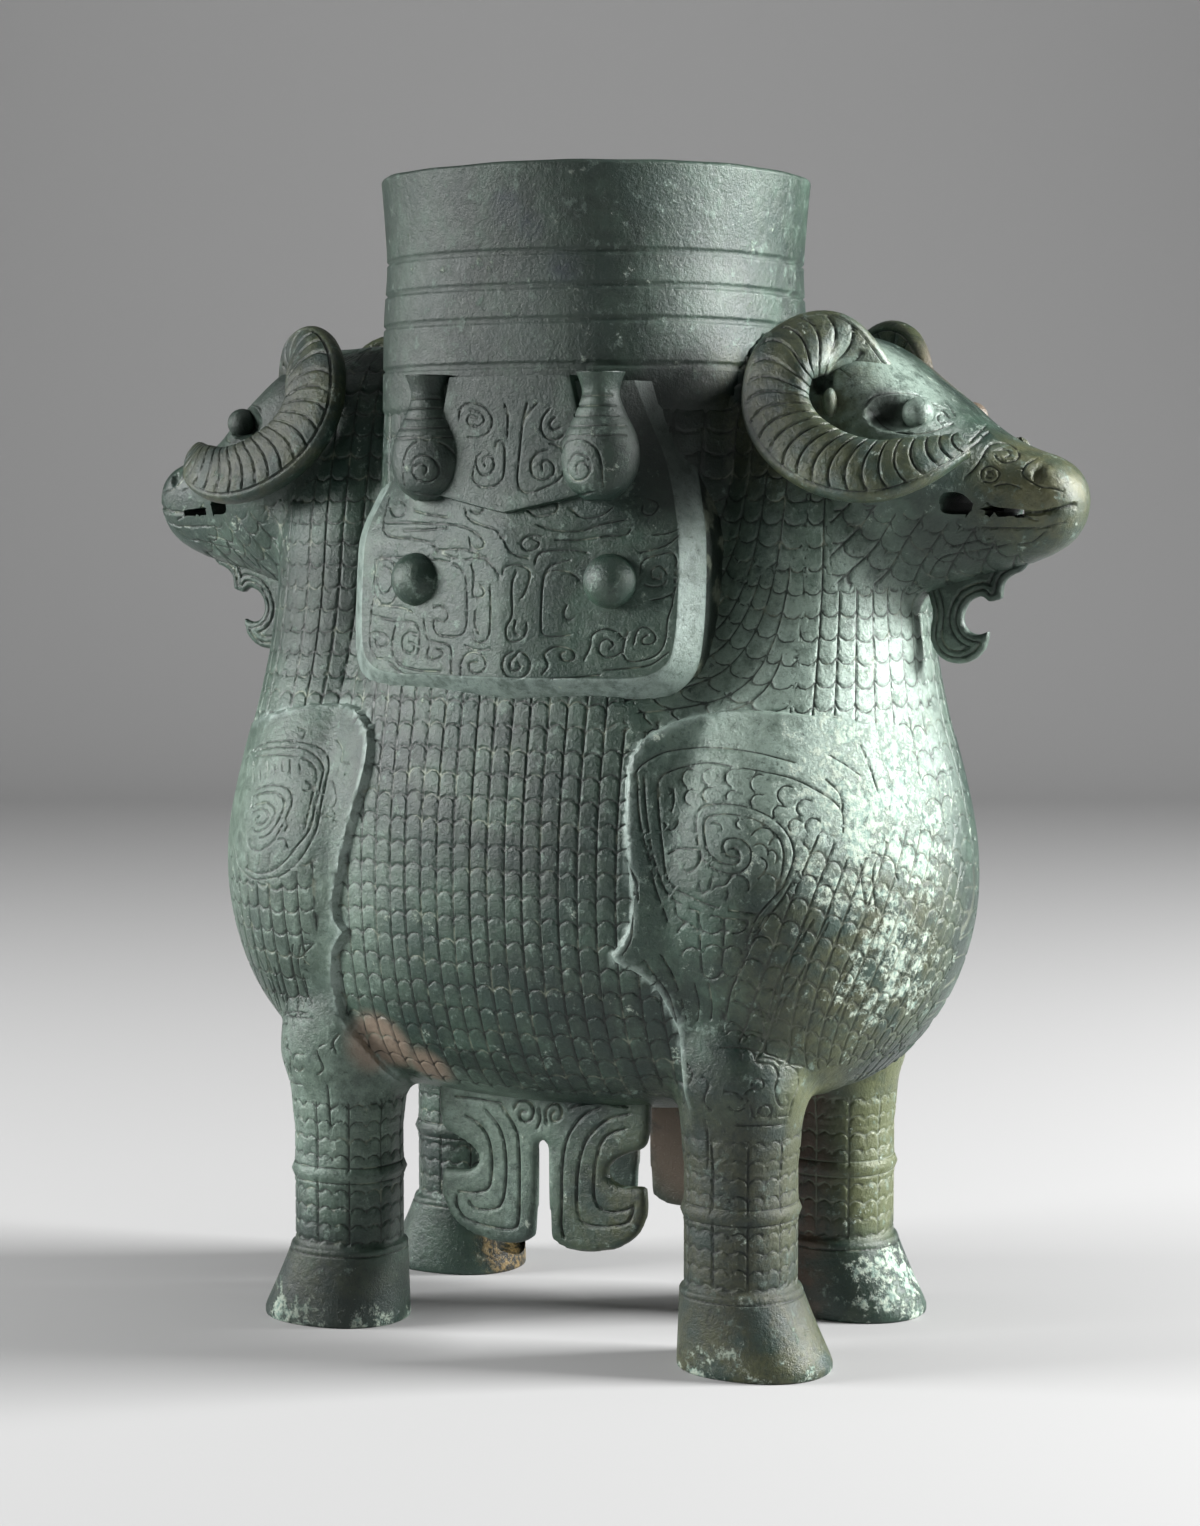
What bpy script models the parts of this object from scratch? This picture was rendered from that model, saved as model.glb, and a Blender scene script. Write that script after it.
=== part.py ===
"""A cast bronze wine vessel: two rams joined back to back, with one hollow body and a flared neck.

The vessel stands on Z = 0 with its middle over the origin. X runs from head to head and Y from side
to side. The two masks face -Y and +Y. Half a turn about Z takes one ram onto the other, so each
detail is described once, on the +X ram or on the -Y side, and is then also made half a turn round.
"""

import math

import bmesh
import bpy
from mathutils import Matrix, Vector

# Driving sizes, in metres
HEIGHT = 0.432
WALL = 0.0048
NECK_HALF_WIDTH = 0.0756
MOUTH_RADIUS = 0.0803
LEG_FROM_MIDDLE_X = 0.082
LEG_FROM_MIDDLE_Y = 0.0477
LEG_RADIUS = 0.0202
HOOF_HALF_LENGTH = 0.0285
HOOF_HALF_WIDTH = 0.0235
HOOF_HEIGHT = 0.029
HOOF_TOE = 0.0055
HOOF_COLLAR = 0.0016
LEG_RING_HEIGHT = 0.058
LEG_RING_PROUD = 0.0013
LEG_RING_WIDTH = 0.0045
NECK_GROOVE_DEPTH = 0.0011
NECK_GROOVE_WIDTH = 0.0022
MASK_THICKNESS = 0.009
MASK_PROUD = 0.0105
MASK_OFF_CENTRE = 0.005
MASK_BEVEL = 0.008
FOREHEAD_STEP = 0.0024
MASK_HORN_HEIGHT = 0.0105
MASK_EYE_RADIUS = 0.0098
MASK_EYE_SUNK = 0.0012
SHOULDER_STEP = 0.0028
HORN_WIDTH = 0.0245
HORN_THICKNESS = 0.0125
HORN_RIB_DEPTH = 0.0011
RAM_EYE_RADIUS = 0.0062
BEARD_THICKNESS = 0.0042
PENDANT_THICKNESS = 0.0046
PENDANT_FROM_MIDDLE = 0.044

# The figure's free form is drawn in shares of its height: 432 units from the floor to the mouth.
UNIT = HEIGHT / 432

# Counts and mesh sizes
NECK_GROOVES_AT = (400, 388, 376, 360)
RING_SIDES = 40
NECK_SIDES = 28
MASK_HORN_SIDES = 10
LEG_SIDES = 12
HEAD_SIDES = 18
HORN_SIDES = 6
HORN_STEPS = 3
OUTLINE_STEPS = 2
SHOULDER_STEPS = 1
SHORTEST_EDGE = 0.00001
CORE_VOXEL = 0.0034
CORE_SMOOTHING = 9
CORE_TRIANGLES = 1340
HOLLOW_TRIANGLES = 380
HALF_TURN = Matrix.Rotation(math.pi, 4, 'Z')

# Shapes and places in units
BROW_WIDENING = 0.26
HOLLOW_CHEST_TOP = 272
SHOULDER_INNER = 24
UNDERSIDE_TOP = 138
SHOULDER_OUTER = 150
LEG_SLEEVE_TOP = 74
LEG_INSIDE = 2.4
EYE_TURN = math.radians(35)
MASK_HORN_SPACING = 34.5
MASK_EYE_SPACING = 39
MASK_EYE_HEIGHT = 283.5
MASK_WIDEST = 66
MASK_SIDE_FALL = 12.5
MASK_LEAN = 6.5
MASK_HORNS_FROM = 312
NOSE_RIDGE = 2.2
NECK_SLEEVE_LOW = 346
CORE_NECK_INSIDE = 2.6


# Small tools for points and meshes

def between(rows, steps):
    """Smooth rows through the given rows of numbers, with a few steps between each two."""
    result = []
    for index in range(len(rows) - 1):
        before = rows[max(index - 1, 0)]
        start = rows[index]
        end = rows[index + 1]
        after = rows[min(index + 2, len(rows) - 1)]
        for step in range(steps):
            t = step / steps
            result.append([
                0.5 * (2 * b + (c - a) * t + (2 * a - 5 * b + 4 * c - d) * t * t
                       + (3 * b - a - 3 * c + d) * t ** 3)
                for a, b, c, d in zip(before, start, end, after)])
    result.append(list(rows[-1]))
    return result


def rounded_loop(half_a, half_b, power, count):
    """Points round a rounded rectangle: power 2 is an ellipse, and more is squarer."""
    points = []
    for index in range(count):
        angle = 2 * math.pi * index / count
        across = math.copysign(abs(math.cos(angle)) ** (2 / power), math.cos(angle))
        along = math.copysign(abs(math.sin(angle)) ** (2 / power), math.sin(angle))
        points.append((half_a * across, half_b * along))
    return points


def level_ring(middle_x, middle_y, height, half_x, half_y, power, count):
    """A rounded loop lying level."""
    return [Vector((middle_x + a, middle_y + b, height))
            for a, b in rounded_loop(half_x, half_y, power, count)]


def object_from(name, mesh_builder):
    """A new object from a bmesh, with its faces pointing out."""
    bmesh.ops.recalc_face_normals(mesh_builder, faces=mesh_builder.faces)
    mesh = bpy.data.meshes.new(name)
    mesh_builder.to_mesh(mesh)
    mesh_builder.free()
    item = bpy.data.objects.new(name, mesh)
    bpy.context.scene.collection.objects.link(item)
    return item


def loft(name, rings):
    """A closed solid through rings that all have the same number of points."""
    builder = bmesh.new()
    loops = [[builder.verts.new(point) for point in ring] for ring in rings]
    for lower, upper in zip(loops, loops[1:]):
        for index in range(len(lower)):
            after = (index + 1) % len(lower)
            builder.faces.new((lower[index], lower[after], upper[after], upper[index]))
    builder.faces.new(list(reversed(loops[0])))
    builder.faces.new(loops[-1])
    return object_from(name, builder)


def smooth_outline(runs, steps):
    """A closed outline from smooth runs of points that meet in corners."""
    points = []
    for run in runs:
        points.extend(between(run, steps)[:-1])
    return points


def plate(name, outline, near, far):
    """An outline of (x, z) points in units made into a flat plate from y = near to y = far."""
    builder = bmesh.new()
    face = builder.faces.new([builder.verts.new((x * UNIT, near, z * UNIT)) for x, z in outline])
    grown = bmesh.ops.extrude_face_region(builder, geom=[face])
    moved = [item for item in grown['geom'] if isinstance(item, bmesh.types.BMVert)]
    bmesh.ops.translate(builder, verts=moved, vec=(0, far - near, 0))
    return object_from(name, builder)


def box(name, low, high):
    """A closed box between two corners."""
    builder = bmesh.new()
    bmesh.ops.create_cube(builder, size=1)
    for vert in builder.verts:
        vert.co = Vector([low[k] if vert.co[k] < 0 else high[k] for k in range(3)])
    return object_from(name, builder)


def ball(name, middle, radii, rings, turn=0):
    """A closed ball or egg, turned about an upright line through its middle."""
    builder = bmesh.new()
    bmesh.ops.create_uvsphere(builder, u_segments=2 * rings, v_segments=rings, radius=1)
    turned = Matrix.Rotation(turn, 3, 'Z')
    for vert in builder.verts:
        vert.co = Vector(middle) + turned @ Vector([vert.co[k] * radii[k] for k in range(3)])
    return object_from(name, builder)


def copy_of(item, matrix):
    """A copy with its points moved by a matrix."""
    twin = item.copy()
    twin.data = item.data.copy()
    twin.data.transform(matrix)
    if matrix.determinant() < 0:
        twin.data.flip_normals()
    bpy.context.scene.collection.objects.link(twin)
    return twin


def join_loose(name, items):
    """One object that holds several closed shells, which may overlap."""
    builder = bmesh.new()
    for item in items:
        builder.from_mesh(item.data)
        bpy.data.objects.remove(item)
    mesh = bpy.data.meshes.new(name)
    builder.to_mesh(mesh)
    builder.free()
    joined = bpy.data.objects.new(name, mesh)
    bpy.context.scene.collection.objects.link(joined)
    return joined


def settle(item):
    """Replace an object's mesh by what its modifiers make of it."""
    graph = bpy.context.evaluated_depsgraph_get()
    mesh = bpy.data.meshes.new_from_object(item.evaluated_get(graph))
    item.modifiers.clear()
    item.data = mesh


def join(target, tool, operation='UNION'):
    """Add a solid to the target, cut it away or keep what both share. The tool is used up."""
    step = target.modifiers.new(operation.lower(), 'BOOLEAN')
    step.operation = operation
    step.object = tool
    step.solver = 'EXACT'
    settle(target)
    bpy.data.objects.remove(tool)
    builder = bmesh.new()
    builder.from_mesh(target.data)
    bmesh.ops.remove_doubles(builder, verts=builder.verts, dist=SHORTEST_EDGE)
    builder.to_mesh(target.data)
    builder.free()


def join_both_ways(target, tool, operation='UNION'):
    """The same as join, here and half a turn round."""
    join(target, copy_of(tool, HALF_TURN), operation)
    join(target, tool, operation)


def skin_over(name, shells, triangles):
    """One smooth closed skin round overlapping shells, with about this many triangles."""
    item = join_loose(name, shells)
    voxels = item.modifiers.new('voxels', 'REMESH')
    voxels.mode = 'VOXEL'
    voxels.voxel_size = CORE_VOXEL
    smoothing = item.modifiers.new('smoothing', 'SMOOTH')
    smoothing.factor = 0.5
    smoothing.iterations = CORE_SMOOTHING
    settle(item)
    item.data.calc_loop_triangles()
    fewer = item.modifiers.new('fewer', 'DECIMATE')
    fewer.ratio = min(1.0, triangles / len(item.data.loop_triangles))
    settle(item)
    return item


# The body: belly, neck of the vessel and chests of the rams

# Height, half length, half width and squareness of the belly
BELLY = [
    (86, 40, 24, 2.0), (89, 74, 44, 2.1), (96, 98, 60, 2.2), (110, 116, 73, 2.2), (132, 127, 83, 2.2),
    (160, 131, 88, 2.2), (190, 128, 88, 2.2), (215, 116, 85, 2.3)]

# Height, how far the sides stand outside the vessel's neck in X and in Y, and squareness
BELLY_TOP = [(240, 23.4, 4.9, 2.4), (265, 8.4, 1.4, 2.6), (300, 0.9, -0.4, 2.7), (340, -0.4, -0.4, 2.6)]

# Height, share of the flare out to the mouth, and squareness
NECK = [(376, 0.0, 2.5), (398, 0.06, 2.3), (415, 0.5, 2.15), (432, 1.0, 2.05), (441, 1.25, 2.05)]

# Height, inner end, outer end, half width and squareness of a ram's chest and neck
CHEST = [
    (97, 64, 107, 30, 2), (104, 50, 118, 48, 2), (118, 40, 131, 62, 2), (136, 30, 141.5, 72, 2),
    (160, 20, 148, 79, 2), (185, 20, 148, 80, 2), (210, 25, 143.5, 74, 2), (232, 35, 137, 65, 2.1),
    (255, 45, 133, 56, 2.1), (280, 50, 130.5, 50, 2.1), (305, 55, 129, 47, 2.1),
    (330, 60, 123, 42, 2.1), (350, 60, 117, 36, 2.1), (364, 60, 111, 27, 2), (372, 60, 104, 14, 2)]

# Distance out, top, bottom, half width and squareness of a ram's head
HEAD = [
    (96, 366, 290, 30, 2), (104, 371, 285, 35, 2.2), (113, 371, 281, 37, 2.5), (124, 365, 279, 37.5, 2.6),
    (134, 357, 279, 36, 2.6), (145, 349, 282, 31.5, 2.5), (155, 341, 285, 25.5, 2.4),
    (165, 334.5, 287, 20.5, 2.4), (175, 330, 290, 17.5, 2.5), (184, 327, 294, 15.5, 2.5),
    (190, 322, 299, 12, 2.3), (193.5, 315, 306, 6, 2)]

# Height, extra reach of the radius and outward lean of a leg above its ring
LEG = [(64, -2.4, 0), (74, 0.4, 0), (84, 1.2, 0), (94, 2, 0), (106, 3, 0), (120, 4, -3), (136, 3, -8),
       (150, -2, -16)]


def lifted(z, inset):
    """A height in metres, raised by the inset near the underside to keep the floor's thickness."""
    return z * UNIT + inset * min(max((UNDERSIDE_TOP - z) / 20, 0), 1)


def belly_shell(inset):
    """The belly and the vessel's neck, up past the mouth."""
    neck = NECK_HALF_WIDTH / UNIT
    flare = MOUTH_RADIUS / UNIT - neck
    rows = list(BELLY)
    rows += [(z, neck + out_x, neck + out_y, power) for z, out_x, out_y, power in BELLY_TOP]
    for z, share, power in NECK:
        half = neck + flare * share - CORE_NECK_INSIDE
        rows.append((z, half, half, power))
    rings = []
    for z, length, width, power in between(rows, 3):
        rings.append(level_ring(0, 0, lifted(z, inset), length * UNIT - inset, width * UNIT - inset,
                                power, RING_SIDES))
    return loft('belly', rings)


def chest_shell(inset):
    """The chest and neck of the +X ram."""
    rings = []
    for z, inner, outer, width, power in between(CHEST, 2):
        middle = (inner + outer) / 2
        rings.append(level_ring(middle * UNIT, 0, lifted(z, inset), (outer - middle) * UNIT - inset,
                                width * UNIT - inset, power, RING_SIDES))
    return loft('chest', rings)


def head_shell():
    """The head of the +X ram, from the nape to the snout, wider at the brow than at the jaw."""
    rings = []
    for x, top, bottom, width, power in between(HEAD, 2):
        middle = (top + bottom) / 2
        half = (top - bottom) / 2
        loop = rounded_loop(width, half, power, HEAD_SIDES)
        rings.append([Vector((x, a * (1 + BROW_WIDENING * b / half), middle + b)) * UNIT
                      for a, b in loop])
    return loft('head', rings)


def leg_shell(side_x, side_y):
    """A plain leg up into the belly, a little thinner low down than the sleeve that finishes it."""
    rows = [(-6, -LEG_INSIDE, 0), (20, -LEG_INSIDE, 0), (45, -LEG_INSIDE, 0)] + LEG
    rings = []
    for z, more, lean in between(rows, 2):
        radius = LEG_RADIUS + more * UNIT
        middle_x = side_x * (LEG_FROM_MIDDLE_X + lean * UNIT)
        middle_y = side_y * (LEG_FROM_MIDDLE_Y + lean * UNIT / 2)
        rings.append(level_ring(middle_x, middle_y, z * UNIT, radius, radius, 2.2, HEAD_SIDES))
    return loft('leg', rings)


def corners():
    """The four legs' directions."""
    return [(side_x, side_y) for side_x in (-1, 1) for side_y in (-1, 1)]


def make_core():
    """The smooth form of the whole vessel, before its hollow and its carving."""
    shells = [belly_shell(0)]
    for shell in (chest_shell(0), head_shell()):
        shells += [copy_of(shell, HALF_TURN), shell]
    shells += [leg_shell(side_x, side_y) for side_x, side_y in corners()]
    return skin_over('vessel', shells, CORE_TRIANGLES)


def make_hollow():
    """The space for the wine, open at the mouth."""
    chest = chest_shell(WALL)
    join(chest, box('above', (-1, -1, HOLLOW_CHEST_TOP * UNIT), (1, 1, 1)), 'DIFFERENCE')
    hollow = skin_over('hollow', [belly_shell(WALL), copy_of(chest, HALF_TURN), chest], HOLLOW_TRIANGLES)
    join(hollow, neck_loft('neck lining', [(height * UNIT, -WALL) for height in (350, 398, 415, 432, 441)]))
    return hollow


# Raised shoulder panels

# Outline of the panel over the near leg of the +X ram, as seen from the side: (x, z)
SHOULDER_PLUS = [
    [(150, 226), (128, 234), (96, 238.5), (70, 236), (56, 229)],
    [(56, 229), (51.5, 219), (52, 196), (55, 172)], [(55, 172), (53, 160), (45.5, 150.5)],
    [(45.5, 150.5), (60, 142), (67, 126), (70, 104), (71, 88)],
    [(71, 88), (110, 86), (160, 88)], [(160, 88), (175, 160), (150, 226)]]

# The same for the -X ram, with x counted away from the middle
SHOULDER_MINUS = [
    [(150, 222), (118, 229), (92, 235), (66, 236), (54, 228)],
    [(54, 228), (53, 214), (61, 188), (68, 164)], [(68, 164), (67, 158), (62, 153.5)],
    [(62, 153.5), (70, 143), (71, 124), (62, 106), (56, 90)],
    [(56, 90), (110, 86), (160, 88)], [(160, 88), (175, 160), (150, 222)]]


def shoulder_lift(point):
    """How far the raised skin stands off the body: full at a panel's inner edge, sinking away from it."""
    x, z = abs(point.x) / UNIT, point.z / UNIT
    forward = min(max((x - 96) / 50, 0), 1)
    downward = min(max((120 - z) / 28, 0), 1)
    fade = 1 - (1 - forward) * (1 - downward)
    return SHOULDER_STEP * (1 - 1.6 * fade)


def add_shoulders(vessel):
    """Raise the four panels as slices of a slightly larger skin."""
    larger = vessel.copy()
    larger.data = vessel.data.copy()
    bpy.context.scene.collection.objects.link(larger)
    moved = [vert.co + vert.normal * shoulder_lift(vert.co) for vert in larger.data.vertices]
    for vert, place in zip(larger.data.vertices, moved):
        vert.co = place
    slabs = []
    for side, runs in ((1, SHOULDER_PLUS), (-1, SHOULDER_MINUS)):
        outline = [(side * x, z) for x, z in smooth_outline(runs, SHOULDER_STEPS)]
        slab = plate('slab', outline, -SHOULDER_OUTER * UNIT, -SHOULDER_INNER * UNIT)
        slabs += [copy_of(slab, HALF_TURN), slab]
    join(larger, join_loose('slabs', slabs), 'INTERSECT')
    join(vessel, larger)


# Legs

# Outline of the hole in the broken hoof, in shares of the hoof's half width and height
BROKEN_HOOF = [(-0.5, 0.33), (0, 0.2), (0.45, 0.3), (0.58, 0.62), (0.3, 0.92), (-0.2, 0.84), (-0.55, 0.7)]


def lower_leg(side_x, side_y):
    """A flared hoof with its toe to the ram's front, and the leg above it with its raised band."""
    collar = LEG_RADIUS + HOOF_COLLAR
    half_ring = LEG_RING_WIDTH / 2
    # Height, half length, half width and shift towards the toe
    rows = [
        (-0.1 * HOOF_HEIGHT, HOOF_HALF_LENGTH, HOOF_HALF_WIDTH, HOOF_TOE),
        (0.12 * HOOF_HEIGHT, HOOF_HALF_LENGTH, HOOF_HALF_WIDTH, HOOF_TOE),
        (0.55 * HOOF_HEIGHT, (HOOF_HALF_LENGTH + collar) / 2, (HOOF_HALF_WIDTH + collar) / 2, HOOF_TOE / 2),
        (HOOF_HEIGHT, collar, collar, 0),
        (HOOF_HEIGHT + HOOF_COLLAR, LEG_RADIUS, LEG_RADIUS, 0),
        (LEG_RING_HEIGHT - half_ring, LEG_RADIUS, LEG_RADIUS, 0),
        (LEG_RING_HEIGHT, LEG_RADIUS + LEG_RING_PROUD, LEG_RADIUS + LEG_RING_PROUD, 0),
        (LEG_RING_HEIGHT + half_ring, LEG_RADIUS, LEG_RADIUS, 0),
        (LEG_SLEEVE_TOP * UNIT, LEG_RADIUS, LEG_RADIUS, 0),
        (LEG_SLEEVE_TOP * UNIT + LEG_RADIUS / 4, LEG_RADIUS * 0.7, LEG_RADIUS * 0.7, 0)]
    rings = []
    for height, half_x, half_y, shift in rows:
        rings.append(level_ring(side_x * (LEG_FROM_MIDDLE_X + shift), side_y * LEG_FROM_MIDDLE_Y, height,
                                half_x, half_y, 2.2, LEG_SIDES))
    return loft('lower leg', rings)


def broken_piece():
    """What is missing from the inner side of the broken hoof."""
    outline = [((LEG_FROM_MIDDLE_Y + across * HOOF_HALF_WIDTH) / UNIT, up * HOOF_HEIGHT / UNIT)
               for across, up in BROKEN_HOOF]
    piece = plate('break', outline, LEG_FROM_MIDDLE_X - 1.2 * HOOF_HALF_LENGTH,
                  LEG_FROM_MIDDLE_X - 0.4 * HOOF_HALF_LENGTH)
    piece.data.transform(Matrix.Rotation(math.pi / 2, 4, 'Z'))
    return piece


def add_feet(vessel):
    """The lower legs, with the soles cut flat and one hoof broken open on its inner side."""
    for side_x, side_y in corners():
        join(vessel, lower_leg(side_x, side_y))
    join(vessel, box('below', (-1, -1, -1), (1, 1, 0)), 'DIFFERENCE')
    join(vessel, broken_piece(), 'DIFFERENCE')


# The heads of the rams

# Middle line of the near horn of the +X ram, with shares of its width and thickness
HORN = [
    (125, -12, 350, 0.6, 0.6), (109, -28, 366, 0.95, 0.95), (94.5, -38, 362.5, 1, 1),
    (91.5, -43, 347.5, 1, 1), (99, -46, 334.5, 1, 1), (113.5, -47, 325.5, 0.98, 1),
    (130, -46, 322.5, 0.9, 0.95), (145, -42, 325.5, 0.75, 0.85), (158, -32, 331, 0.4, 0.5)]

# Outline of the beard, hooked forward: (x, z)
BEARD = [
    [(140, 289), (133.5, 283), (135.8, 272.5), (135.3, 262), (139.2, 255.4), (146, 253.2), (152.5, 255.2),
     (156.6, 259.8), (157.6, 265.5)],
    [(157.6, 265.5), (153.5, 264), (149.4, 265.6), (147.7, 270), (150.2, 275.8), (155.2, 278)],
    [(155.2, 278), (157.5, 275.8), (162.3, 276.9)], [(162.3, 276.9), (163.7, 283.6), (170, 287)],
    [(170, 287), (174, 292), (178, 296)], [(178, 296), (160, 300), (140, 289)]]

# The open corner of the mouth and the gap between the lips: (x, z)
MOUTH_CORNER = [
    [(148, 311), (149.5, 314.4), (155, 314.6), (158.6, 311.3)], [(158.6, 311.3), (158.4, 307)],
    [(158.4, 307), (149.5, 307.4), (148, 311)]]
LIP_GAP = [
    [(162, 310), (176, 308.6)], [(176, 308.6), (176.2, 306.2)], [(176.2, 306.2), (162, 306.8)],
    [(162, 306.8), (162, 310)]]


def horn():
    """The near horn of the +X ram: a broad curled band with ribs across it."""
    rings = []
    stations = between(HORN, HORN_STEPS)
    for index, (x, y, z, wide, thick) in enumerate(stations):
        before = Vector(stations[max(index - 1, 0)][:3])
        after = Vector(stations[min(index + 1, len(stations) - 1)][:3])
        along = (after - before).normalized()
        outward = Vector((0, -1, 0.25))
        across = along.cross(outward).normalized()
        facing = across.cross(along).normalized()
        rib = HORN_RIB_DEPTH * (index % 2)
        loop = rounded_loop(HORN_WIDTH / 2 * wide - rib, HORN_THICKNESS / 2 * thick - rib, 2.2, HORN_SIDES)
        middle = Vector((x, y, z)) * UNIT
        rings.append([middle + across * a + facing * b for a, b in loop])
    return loft('horn', rings)


def on_both_sides(item):
    """A solid and its mirror image across the plane Y = 0."""
    return [item, copy_of(item, Matrix.Scale(-1, 4, (0, 1, 0)))]


def add_heads(vessel):
    """Eyes, ears, mouth, horns and beard of both rams."""
    socket_at = Vector((135.5, -34.5, 342.5)) * UNIT
    socket = ball('socket', socket_at, Vector((11.5, 4.5, 6.5)) * UNIT, 6, EYE_TURN)
    for cut in on_both_sides(socket):
        join_both_ways(vessel, cut, 'DIFFERENCE')
    for runs in (MOUTH_CORNER, LIP_GAP):
        join_both_ways(vessel, plate('mouth', smooth_outline(runs, 1), -40 * UNIT, 40 * UNIT), 'DIFFERENCE')
    eye = ball('eye', Vector((136, -28.5, 341)) * UNIT, Vector((1, 1, 1)) * RAM_EYE_RADIUS, 5)
    ear = ball('ear', Vector((113, -34, 345)) * UNIT, Vector((8, 10, 5)) * UNIT, 4)
    for solid in (eye, ear, horn()):
        for either in on_both_sides(solid):
            join_both_ways(vessel, either)
    beard = plate('beard', smooth_outline(BEARD, OUTLINE_STEPS), -BEARD_THICKNESS / 2, BEARD_THICKNESS / 2)
    join_both_ways(vessel, beard)


# The masks on the vessel's neck

# Height and half width of the mask's face
MASK = [(242.5, 48), (244, 56), (248, 62.5), (255, 66), (266, 67), (280, 65.5), (295, 62), (310, 57),
        (325, 52.5), (340, 48.5), (354, 45)]

# Height, half width and how far the bottle-shaped horns of the mask stand off it, as a share
MASK_HORN = [(312, 5, 0.4), (317, 11.5, 0.85), (325, 14.5, 1), (334, 13.5, 1), (343, 9, 0.75),
             (350, 6.6, 0.65), (357, 8.5, 0.9)]


def mask_face(x, z):
    """Distance of the mask's face from the middle plane, in units; x is counted from its ridge."""
    lower_down = min(max((330 - z) / 80, 0), 1)
    rounding = MASK_SIDE_FALL * min(abs(x) / MASK_WIDEST, 1.2) ** 1.9
    nose = NOSE_RIDGE * max(0, 1 - abs(x) / 30) * min(max((MASK_HORNS_FROM - z) / 10, 0), 1)
    return (NECK_HALF_WIDTH + MASK_PROUD) / UNIT - MASK_LEAN * (1 - lower_down) - rounding + nose


def slab(name, rows, columns, place, layers, back):
    """A solid slab on a grid of places, closed by layers of its border and a flat back at y = back.

    place(u, v, grow) gives a point of the face, and layers are pairs of growth and depth.
    """
    builder = bmesh.new()
    us = [2 * i / columns - 1 for i in range(columns + 1)]
    vs = [i / rows for i in range(rows + 1)]
    grid = [[builder.verts.new(place(u, v, 0)) for u in us] for v in vs]
    for lower, upper in zip(grid, grid[1:]):
        for k in range(columns):
            builder.faces.new((lower[k], lower[k + 1], upper[k + 1], upper[k]))
    border = [(u, 0) for u in us[:-1]] + [(1, v) for v in vs[:-1]]
    border += [(u, 1) for u in reversed(us[1:])] + [(-1, v) for v in reversed(vs[1:])]
    loop = grid[0][:-1] + [row[-1] for row in grid[:-1]]
    loop += list(reversed(grid[-1][1:])) + [row[0] for row in reversed(grid[1:])]
    levels = [[place(u, v, grow) + Vector((0, depth, 0)) for u, v in border] for grow, depth in layers]
    levels.append([Vector((point.x, back, point.z)) for point in levels[-1]])
    for level in levels:
        under = [builder.verts.new(point) for point in level]
        for k in range(len(loop)):
            after = (k + 1) % len(loop)
            builder.faces.new((loop[k], loop[after], under[after], under[k]))
        loop = under
    builder.faces.new(loop)
    return object_from(name, builder)


def mask_place(u, v, grow):
    """A point of the near mask's face."""
    rows = between(MASK, 4)
    spot = v * (len(rows) - 1)
    low = min(int(spot), len(rows) - 2)
    z, half = [a + (b - a) * (spot - low) for a, b in zip(rows[low], rows[low + 1])]
    x = u * (half + grow)
    z += grow * (0 if v > 0.5 else v - 0.5) * 1.2
    return Vector((x + MASK_OFF_CENTRE / UNIT, -mask_face(x, z), z)) * UNIT


def forehead_place(u, v, grow):
    """A point of the panel between the mask's horns, with a lower edge that dips at the ridge."""
    low = 316 - 8 * (1 - abs(u)) ** 0.8
    z = low + v * (356 - low) - grow * (1 - v)
    x = u * (33 - 9 * v + grow)
    return Vector((x + MASK_OFF_CENTRE / UNIT, -mask_face(x, z) - FOREHEAD_STEP / UNIT, z)) * UNIT


def mask_horn(side):
    """A bottle-shaped horn standing off the near mask."""
    rings = []
    middle = side * MASK_HORN_SPACING
    for z, half, proud in MASK_HORN:
        depth = MASK_HORN_HEIGHT * proud
        rings.append(level_ring(middle * UNIT + MASK_OFF_CENTRE, -mask_face(middle, z) * UNIT, z * UNIT,
                                half * UNIT, depth, 2, MASK_HORN_SIDES))
    return loft('mask horn', rings)


def add_masks(vessel):
    """The two masks, with their forehead panels, horns and round eyes."""
    bevel = MASK_BEVEL / UNIT
    mask = slab('mask', 8, 8, mask_place,
                [(bevel * 0.35, MASK_THICKNESS * 0.22), (bevel, MASK_THICKNESS)], -NECK_HALF_WIDTH / 2)
    join(mask, slab('forehead', 3, 6, forehead_place, [(0.8, FOREHEAD_STEP * 1.4)], -0.85 * NECK_HALF_WIDTH))
    for side in (-1, 1):
        join(mask, mask_horn(side))
        x, z = side * MASK_EYE_SPACING, MASK_EYE_HEIGHT
        middle = Vector((x * UNIT + MASK_OFF_CENTRE, -mask_face(x, z) * UNIT + MASK_EYE_SUNK, z * UNIT))
        join(mask, ball('mask eye', middle, Vector((1, 0.9, 1)) * MASK_EYE_RADIUS, 5))
    join_both_ways(vessel, mask)


# Pendants under the belly, and the grooves round the neck

# One hook of a pendant, open outwards, as seen from the near side: (x, z)
PENDANT_HOOK = [
    [(0, 98), (2.5, 98)], [(2.5, 98), (2.5, 74)], [(2.5, 74), (2.7, 54), (3.4, 38.5)],
    [(3.4, 38.5), (8, 35.2), (18, 34), (31, 36.5)], [(31, 36.5), (39, 42.5), (43, 52), (42, 61)],
    [(42, 61), (34, 60.5), (28.5, 61.5)], [(28.5, 61.5), (26.8, 65.5), (29, 69.2)],
    [(29, 69.2), (35, 72.5), (41, 74.5)], [(41, 74.5), (43.5, 80), (44, 98)], [(44, 98), (0, 98)]]


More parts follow.
